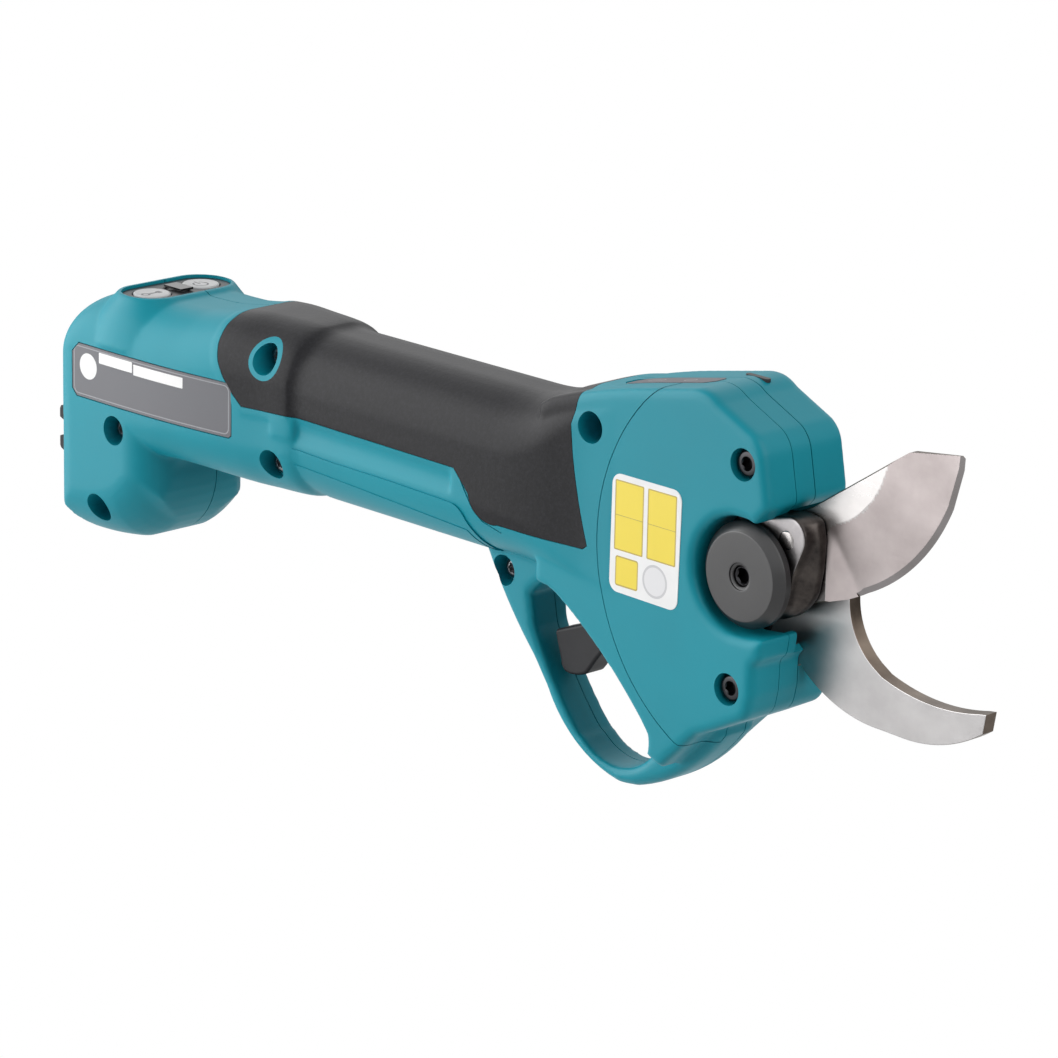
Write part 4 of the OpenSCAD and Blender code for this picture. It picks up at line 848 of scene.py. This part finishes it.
hub = loft([between(lobe_face, lobe_base, y, t, s) for y, t, s in
            ((hub_front, 0.0, 0.9), (-13.15, 0.0, 0.45), (-12.8, 0.0, 0.12), (-12.3, 0.02, 0.0),
             (-10.6, 0.12, 0.0),
             (-9.4, 0.32, 0.0), (-8.6, 0.62, 0.0), (-8.0, 0.86, 0.0), (-7.2, 0.97, 0.0), (-5.2, 1.0, 0.0),
             (-4.7, 1.0, 0.15), (hub_back, 1.0, 0.6))])
hub = settle(hub, ("SUBSURF", dict(levels=1, render_levels=1)))
hub = without(hub, rod(pivot.x, 0, bore_r, -30, 5), rod(pivot.x, 0, 15.2, -8.4, -4.0),
              prism(about_pivot([(-36, -24), (-6, -24), (-6, 24), (-36, 24)]), -8.5, -4.0))
hub_piece = piece("blade_hub_forging", hub, forging_skin, "blade", "forged_steel", "blade_hub", sharp=40)


def added_finish(made, material, test):
    """Gives the faces that pass a test one more material, as where a face was ground after forging."""
    made.data.materials.append(material)
    for face in made.data.polygons:
        if test(face):
            face.material_index = len(made.data.materials) - 1


added_finish(hub_piece, ground_hub, lambda face: face.normal.y < -0.9 and face.center.y < -0.0128)
bright_pin = tinted("bright_drawn_pin", "#8A8786", "#979493", 0.5, 0.006, roughness=0.24, metallic=1.0)[0]
pin_x, pin_z = 331.9, 13.3
pin = turned([(0, -13.62), (2.2, -13.62), (2.75, -13.55), (3.0, -13.36), (3.19, -13.1), (3.19, -0.3),
              (0, -0.3)],
             (pin_x, 0, pin_z), 48)
piece("hub_pin_turned", pin, bright_pin, "blade", "plain_steel", "hub_pin")

# ---- cutting blade -------------------------------------------------------------------------------
# A 4 mm blade of hardened tool steel, flat-ground on both sides. The right side is hollow-ground
# towards the edge, with a run-out beside the hub, and a narrow honed strip makes the cutting edge.
def ground_steel(name, colour_a, colour_b, rough, along, scratch=0.12):
    material, tree, surface, place = finish(name, metallic=1.0)
    turn = add(tree, "Mapping", {"Rotation": (0, along, 0), "Scale": (40, 900, 900)}, {"Vector": place})
    # the wheel's scratches are a few hundredths of a millimetre wide; drawn about 0.6 mm wide
    lines = add(tree, "TexNoise", {"Scale": 1.7, "Detail": 5.0, "Roughness": 0.7},
                {"Vector": turn.outputs[0]})
    bump = add(tree, "Bump", {"Strength": scratch, "Distance": 0.00002}, {"Height": lines.outputs[0]})
    tree.links.new(bump.outputs[0], surface.inputs["Normal"])
    clouds = add(tree, "TexNoise", {"Scale": 1000 / 16, "Detail": 4.0, "Roughness": 0.6}, {"Vector": place})
    tree.links.new(ramp(tree, clouds.outputs[0], (0.35, colour_a), (0.65, colour_b)),
                   surface.inputs["Base Color"])
    tree.links.new(ramp(tree, lines.outputs[0], (0.3, rough - 0.05), (0.7, rough + 0.06)),
                   surface.inputs["Roughness"])
    return material


flat_ground = ground_steel("flat_ground_tool_steel", "#AFACAB", "#B8B5B4", 0.3, math.radians(-20))
hollow_ground = ground_steel("hollow_ground_tool_steel", "#A39A99", "#B2A9A8", 0.34, math.radians(-60), 0.2)
# the narrow faces' dark brown is partly the tint of cut steel and partly painted dark reflection
edge_tint_and_dark_reflection = ground_steel("edge_tint_with_painted_dark_reflection", "#544A42", "#6E6359", 0.34, 0.0)
blade_outline = about_pivot(
    arc((-2, 13.5), (-13.5, 0), (-1, -13.5), 24) + [(8, -12)] + arc((14, -8.5), (22, -6), (29, -4))
    + arc((35.8, -0.8), (58, 16), (68.5, 33), 28) + [(72.0, 45.8), (72.2, 49.6), (71.2, 50.3)]
    + arc((53.4, 48.0), (52.4, 47.7), (51.6, 47.2), 4) + [(37.7, 37.9), (14.9, 22.8), (7, 19), (0, 16)])


shoulder = about_pivot([(8, 13.6)] + arc((23.4, 19.3), (34.8, 25.7), (43.9, 40.6), 16) + [(47.5, 52),
    (50, 62)])


def ground_depth(x, z):
    """How deep the grinding goes: from nothing at its curved shoulder towards the edge, and from the run-out
    beside the hub, with a soft hollow where the two meet."""
    spot, far = Vector((x, z)), 1e9
    for a, b in zip(shoulder, shoulder[1:]):
        a, side = Vector(a), Vector(b) - Vector(a)
        t = min(1, max(0, (spot - a).dot(side) / side.dot(side)))
        away = spot - a - side * t
        if away.length < far:
            far, beyond = away.length, side.cross(away) < 0
    wheel = 0.128 * far * (1 if beyond else -1)
    ramp_down = 0.265 * (x - pivot.x - 21.5)
    meet = 0.35
    h = max(meet - abs(wheel - ramp_down), 0) / meet
    return min(wheel, ramp_down) - h * h * meet / 4


def scoop(rows):
    """A cutter whose floor runs through rows of (x, z, y), open towards the right side of the tool."""
    bm = bmesh.new()
    made = bmesh.ops.create_grid(bm, x_segments=len(rows[0]) - 1, y_segments=len(rows) - 1, size=1)["verts"]
    made.sort(key=lambda v: (round(v.co.y, 4), round(v.co.x, 4)))
    for v, (x, z, y) in zip(made, [p for row in rows for p in row]):
        v.co = (x, y, z)
    top = bmesh.ops.extrude_face_region(bm, geom=bm.faces[:])["geom"]
    for v in top:
        if isinstance(v, bmesh.types.BMVert):
            v.co.y = -16
    return solid("scoop", bm)


front_y = -4.3
hollow_rows = [[(pivot.x + 20 + 0.8 * i, -14 + 0.8 * k, front_y + ground_depth(pivot.x + 20 + 0.8 * i,
    -14 + 0.8 * k))
                for i in range(70)] for k in range(84)]
edge_curve = [(33, -2.9)] + arc((35.8, -0.8), (58, 16), (68.5, 33), 28) + [(72.2, 45.8), (73.0, 53)]
edge_rows = [[], [], []]
for k, p in enumerate(edge_curve):
    ahead_of = Vector(edge_curve[min(k + 1, len(edge_curve) - 1)]) - Vector(edge_curve[max(k - 1, 0)])
    inward = Vector((-ahead_of.y, ahead_of.x)).normalized()
    for row, shift, y in zip(edge_rows, (2.1, 0.0, -0.8), (None, -0.45, 0.25)):
        spot = Vector(p) + inward * shift
        depth = front_y + ground_depth(spot.x + pivot.x, spot.y) - 0.03 if y is None else y
        row.append((spot.x + pivot.x, spot.y, depth))
cutting = prism(blade_outline, front_y, -0.3, 0.4, 1)
cutting = without(cutting, scoop(hollow_rows), scoop(edge_rows), rod(pivot.x, 0, bore_r, -10, 5),
                  rod(pin_x, pin_z, 3.2, -10, 5))
cutting_piece = piece("cutting_blade_ground", cutting, flat_ground, "blade", "blade_steel", "cutting_blade",
                      sharp=14)
added_finish(cutting_piece, hollow_ground,
              lambda face: face.normal.y < -0.5 and face.center.y > (front_y + 0.08) / 1000)


def at_rim(face):
    """The blade's narrow outer faces."""
    lean = abs(face.normal.y)
    return lean < 0.3 or lean < 0.8 and face.center.y < (front_y + 0.42) / 1000


# the blade's narrow outer faces take the dark brown: steel tint with painted dark reflection
added_finish(cutting_piece, edge_tint_and_dark_reflection, at_rim)
added_finish(cutting_piece, ground_steel("honed_edge_steel", "#7F7B7A", "#8A8686", 0.3, math.radians(40)),
             lambda face: -0.93 < face.normal.y < 0 and not at_rim(face))

# ---- hook blade ---------------------------------------------------------------------------------
# The fixed counter-blade, 5 mm thick: its sides are ground and brushed, and its narrow inner and outer faces are dark
# brown, the tint of the cut and tempered steel together with painted dark reflection.
brushed_hook = ground_steel("brushed_hook_steel", "#9A9898", "#A5A3A3", 0.34, math.radians(70), 0.12)
hook_outline = about_pivot(
    arc((0, 13), (-13, 0), (-11, -8), 24) + arc((-14, -16), (-14, -30), (-12, -42)) + [(4.5, -42), (5.2, -33),
        (8.3, -30.2)]
    + arc((10.4, -32.3), (21.2, -38.7), (42.2, -43), 16) + arc((50, -43.3), (70, -40.6), (83.2, -33.9),
        20) + [(84.3, -27.5)]
    + arc((81.5, -27.9), (62, -29.8), (42, -26), 20) + arc((37.9, -23.5), (29.5, -13), (27.8, -4.8), 16)
    + arc((27.5, -2), (22, 4), (12, 5), 5))
hook = prism(hook_outline, 0.0, 5.0, 0.3, 2)
hook = without(hook, rod(pivot.x, 0, 6.02, -5, 10), *[rod(pivot.x + x, z, 2.02, -5, 10) for x,
                                                      z in ((-6, -21), (-8, -33))],
               rod(*bolts[1], 2.55, -5, 10))
hook_piece = piece("hook_blade_ground", hook, brushed_hook, "tool", "blade_steel", "hook_blade", sharp=25)
# the hook's narrow faces take the same dark brown: steel tint with painted dark reflection
added_finish(hook_piece, edge_tint_and_dark_reflection, lambda face: abs(face.normal.y) < 0.45)

# ---- trigger --------------------------------------------------------------------------------------
# A moulded black nylon lever on a pin, with soft edges. It turns in the loop below the head.
black_nylon = tinted("moulded_black_nylon", "#17171A", "#1E1E21", 0.8, 0.02, roughness=0.5,
                     specular_ior_level=0.25)[0]
trigger_outline = [(x + trigger_at[0], z + trigger_at[1]) for x, z in
                   arc((-1, 4.5), (4.5, 0), (0, -4.5), 12) + [(-7, -11)] + arc((-8.5, -13.8), (-14.2, -19.6),
                       (-19, -25.8), 10)
                   + arc((-20.4, -27.4), (-24, -28.8), (-28, -29.3), 6) + arc((-30, -29), (-31.5, -27.6),
                       (-32.1, -25.4), 5)
                   + arc((-32.8, -23), (-34, -19.6), (-34.8, -16.8), 6) + arc((-34.2, -15.6), (-27, -12.8),
                       (-20, -9.9), 8)
                   + [(-13.2, -7.1), (-9.5, -3), (-6.5, 2)]]
lever = prism(trigger_outline, trigger_mid - trigger_w / 2, trigger_mid + trigger_w / 2, 1.1, 3)
lever = without(lever, rod(trigger_at[0], trigger_at[1], 1.53, -20, 20))
piece("trigger_lever", lever, black_nylon, "trigger", "black_plastic", "trigger", sharp=40)

# ---- battery seat ------------------------------------------------------------------------------------
# A black nylon block that closes the foot's rear, with two hooked rails that the battery pack slides
# over and slots for its contacts. Only the near rail's hook shows in the photograph.
seat_block = loft([section(x, 22.9 - g, -39.9 + g, 13.9 - g, 3, 3) for x,
                   g in ((0.9, 0.4), (1.3, 0), (9, 0))])
slots = [prism([(-1, -14), (8, -14), (8, 0), (-1, 0)], body_y + y - 1, body_y + y + 1) for y in (-9, 9)]
slots.append(prism([(-1, -13), (8, -13), (8, -5), (-1, -5)], body_y - 1, body_y + 1))
seat_block = without(seat_block, *slots)
rail_side = [(1, 6), (-1.6, 6), (-1.6, -10.4), (-3.9, -11), (-4.4, -12), (-4.4, -15.2), (-2.4, -16),
             (-2.4, -21.2), (-4.4, -22), (-4.4, -25.4), (-3.8, -26.4), (-1.6, -27.4), (-1.6, -36), (1, -36)]
for side in (-1, 1):
    rail = prism(rail_side, body_y + side * 19.5 - 1.5, body_y + side * 19.5 + 1.5, 0.3, 1)
    hook_y = sorted((body_y + side * 20.5, body_y + side * 23))
    lip = prism(rail_side[2:12], *hook_y, 0.3, 1)
    seat_block = joined(seat_block, rail, lip)
piece("battery_seat_block", seat_block, black_nylon, "tool", "black_plastic", "terminal_block", sharp=30)

# ---- inner parts that keep their CAD shape -----------------------------------------------------------
# Gears, motor, boards, contacts and springs are seen only through openings or with a half taken
# off. Each gets its own finish: cut gear steel, wound copper, laminated solder mask, brass.
inner_looks = (
    ("black_plastic", "glass_filled_black_nylon", "#26262A", "#303033", 0.9, 0.02, 0.5, 0.0),
    ("window_black", "black_display_glass", "#0F1012", "#15161A", 0.6, 0.002, 0.12, 0.0),
    ("board_green", "green_solder_mask", "#1D5A36", "#256B41", 0.8, 0.02, 0.35, 0.0),
    ("chip_black", "potted_black_epoxy", "#1E1E20", "#28282B", 0.7, 0.03, 0.55, 0.0),
    ("contact_brass", "stamped_tinned_brass", "#B99A52", "#C9AC66", 0.6, 0.01, 0.3, 1.0),
    ("wire_red", "silicone_lead_insulation", "#8E1F1C", "#A52824", 0.7, 0.02, 0.5, 0.0),
    ("plain_steel", "machined_gear_steel", "#8E8F92", "#A0A1A4", 0.5, 0.02, 0.32, 1.0),
    ("dark_screw", "phosphated_screw_steel", "#4A4A4C", "#5A5A5D", 0.5, 0.02, 0.42, 1.0),
    ("case_dark", "die_cast_zinc_case", "#5C5E62", "#6B6D71", 0.8, 0.03, 0.46, 1.0),
    ("copper", "enamelled_copper_winding", "#A8542E", "#BF6A3D", 0.5, 0.05, 0.3, 1.0))
inner = {slot: tinted(name, dark, light, size_mm, depth_mm, roughness=rough, metallic=metal)[0]
         for slot, name, dark, light, size_mm, depth_mm, rough, metal in inner_looks}
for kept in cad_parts.values():
    if kept.hide_render:
        continue
    for held in kept.material_slots:
        named = held.name
        for slot, material in inner.items():
            if named.startswith(slot):
                held.material = material

# ---- studio ---------------------------------------------------------------------------------------
# A pale floor well below the hovering tool, a large softbox from the photographer's left and a weaker
# one from in front and above. Mirror-like parts see white surroundings, as in a product tent.
bm = bmesh.new()
bmesh.ops.create_grid(bm, x_segments=2, y_segments=2, size=1.1)
floor_mesh = bpy.data.meshes.new("floor")
bmesh.ops.translate(bm, vec=(0.15, 0, -0.42), verts=bm.verts)
bm.to_mesh(floor_mesh)
bm.free()
floor = bpy.data.objects.new("floor", floor_mesh)
bpy.context.scene.collection.objects.link(floor)
floor_paint, tree, surface, _ = finish("pale_studio_floor", roughness=0.9)
surface.inputs["Base Color"].default_value = paint("#D8D8D8")
light_path = add(tree, "LightPath")
either = add(tree, "Math", {"operation": "MAXIMUM"},
             {0: light_path.outputs["Is Camera Ray"], 1: light_path.outputs["Is Glossy Ray"]})
either = add(tree, "Math", {"operation": "MAXIMUM"}, {0: either.outputs[0],
                                                      1: light_path.outputs["Is Transmission Ray"]})
glow = add(tree, "Emission", {"Color": paint("#FFFFFF"), "Strength": 1.0})
blend = add(tree, "MixShader", {}, {0: either.outputs[0], 1: surface.outputs[0], 2: glow.outputs[0]})
tree.links.new(blend.outputs[0], tree.nodes["Material Output"].inputs["Surface"])
floor_mesh.materials.append(floor_paint)
floor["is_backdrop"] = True

world = bpy.data.worlds.new("white_tent")
bpy.context.scene.world = world
world.use_nodes = True
tree = world.node_tree
sky = tree.nodes["Background"]
sky.inputs["Color"].default_value = paint("#FFFFFF")
light_path = add(tree, "LightPath")
seen = add(tree, "Math", {"operation": "MAXIMUM"},
           {0: light_path.outputs["Is Camera Ray"], 1: light_path.outputs["Is Transmission Ray"]})
# mirror-like parts see a white tent on the photographer's side and its grey open back behind the tool
toward = add(tree, "SeparateXYZ", {}, {0: add(tree, "TexCoord").outputs["Generated"]})
front = add(tree, "MapRange", {1: -0.1, 2: 0.5, 3: 1.0, 4: 0.25}, {0: toward.outputs[1]})
above = add(tree, "MapRange", {1: 0.02, 2: 0.28, 3: 0.0, 4: 1.5}, {0: toward.outputs[2]})
tent = add(tree, "Math", {"operation": "MAXIMUM"}, {0: front.outputs[0], 1: above.outputs[0]})
lit = add(tree, "Mix", {"data_type": "FLOAT", 2: 0.15}, {0: light_path.outputs["Is Glossy Ray"],
                                                         3: tent.outputs[0]})
strength = add(tree, "Mix", {"data_type": "FLOAT", 3: 1.0}, {0: seen.outputs[0], 2: lit.outputs[0]})
tree.links.new(strength.outputs[0], sky.inputs["Strength"])


def softbox(name, toward, distance, size, power):
    """An area lamp at a distance along a direction from the tool's middle, facing the tool."""
    data = bpy.data.lights.new(name, "AREA")
    data.shape, data.size, data.size_y, data.energy = "RECTANGLE", size[0], size[1], power
    lamp = bpy.data.objects.new(name, data)
    way = Vector(toward).normalized()
    lamp.location = Vector((0.18, 0, 0)) + way * distance
    lamp.rotation_euler = way.to_track_quat("Z", "Y").to_euler()
    bpy.context.scene.collection.objects.link(lamp)


softbox("left_softbox", (-0.72, -0.68, 0.25), 1.6, (2.2, 1.8), 38)
softbox("front_top_softbox", (0.82, 0.05, 0.57), 1.6, (1.6, 1.6), 15)
bpy.context.scene.view_settings.view_transform = "Standard"

bpy.context.view_layer.update()
shown = [o for o in bpy.data.objects if o.type == "MESH" and not o.hide_render and o is not floor]
finished = {o.name: [o.matrix_world @ v.co for v in o.data.vertices] for o in shown}
all_trees = [BVHTree.FromPolygons(finished[o.name], [p.vertices[:] for p in o.data.polygons]) for o in shown]


def in_view(spot):
    """True where nothing stands before a place in metres."""
    way = spot - eye
    reach = way.length
    return all(hit is None or away > reach - 0.0006
               for hit, _, _, away in (tree.ray_cast(eye, way / reach) for tree in all_trees))


def middle_of(name, keep=lambda v: True):
    """The middle, in the photograph's pixels, of what shows of a piece."""
    marks = [on_photo(v) for v in finished[name] if keep(v) and in_view(v)]
    if not marks:
        return None, None
    xs, ys = zip(*marks)
    return (min(xs) + max(xs)) / 2, (min(ys) + max(ys)) / 2


def near_axis(x, z, low, high):
    return lambda v: low < math.hypot(v.x * 1000 - x, v.z * 1000 - z) < high and v.y < 0


found = {}
outline = [on_photo(v) for co in finished.values() for v in co]
xs, ys = zip(*outline)
found["object_left"], found["object_right"] = (min(xs), None), (max(xs), None)
found["object_top"], found["object_bottom"] = (None, min(ys)), (None, max(ys))
for name, k in (("foot_well", 1), ("rear_well", 0), ("collar_well", 2), ("lower_well", 3), ("head_well", 4), ("guard_well", 5)):
    found[name] = middle_of("right_shell", near_axis(*wells[k], well_r - 0.05, well_r + 0.25))
for name, (x, z) in zip(("upper_bolt", "lower_bolt"), bolts):
    found[name] = middle_of("cover_bolt_set", near_axis(x, z, 0, 4.4))
found["cap_socket"] = middle_of("pivot_cap_turned", lambda v: math.hypot(v.x * 1000 - pivot.x, v.z * 1000) < 4.75)
found["hub_pin"] = middle_of("hub_pin_turned")
tip = max(finished["cutting_blade_ground"], key=lambda v: on_photo(v)[0])
found["cutting_tip"] = on_photo(tip)
tip = max(finished["hook_blade_ground"], key=lambda v: on_photo(v)[0])
found["hook_tip"] = on_photo(tip)
found["near_button"] = middle_of("mode_key")
found["far_button"] = middle_of("power_key")
found["label"] = middle_of("side_label_film")
found["nameplate"] = middle_of("nameplate_film")
found["head_slot"] = middle_of("head_slot_plug")


def plain(value):
    if isinstance(value, dict):
        return {key: plain(item) for key, item in value.items()}
    return [plain(item) for item in value] if hasattr(value, "__len__") or hasattr(value, "__iter__") else float(value)


{"cad": plain(cad_box), "visual": plain(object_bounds())}
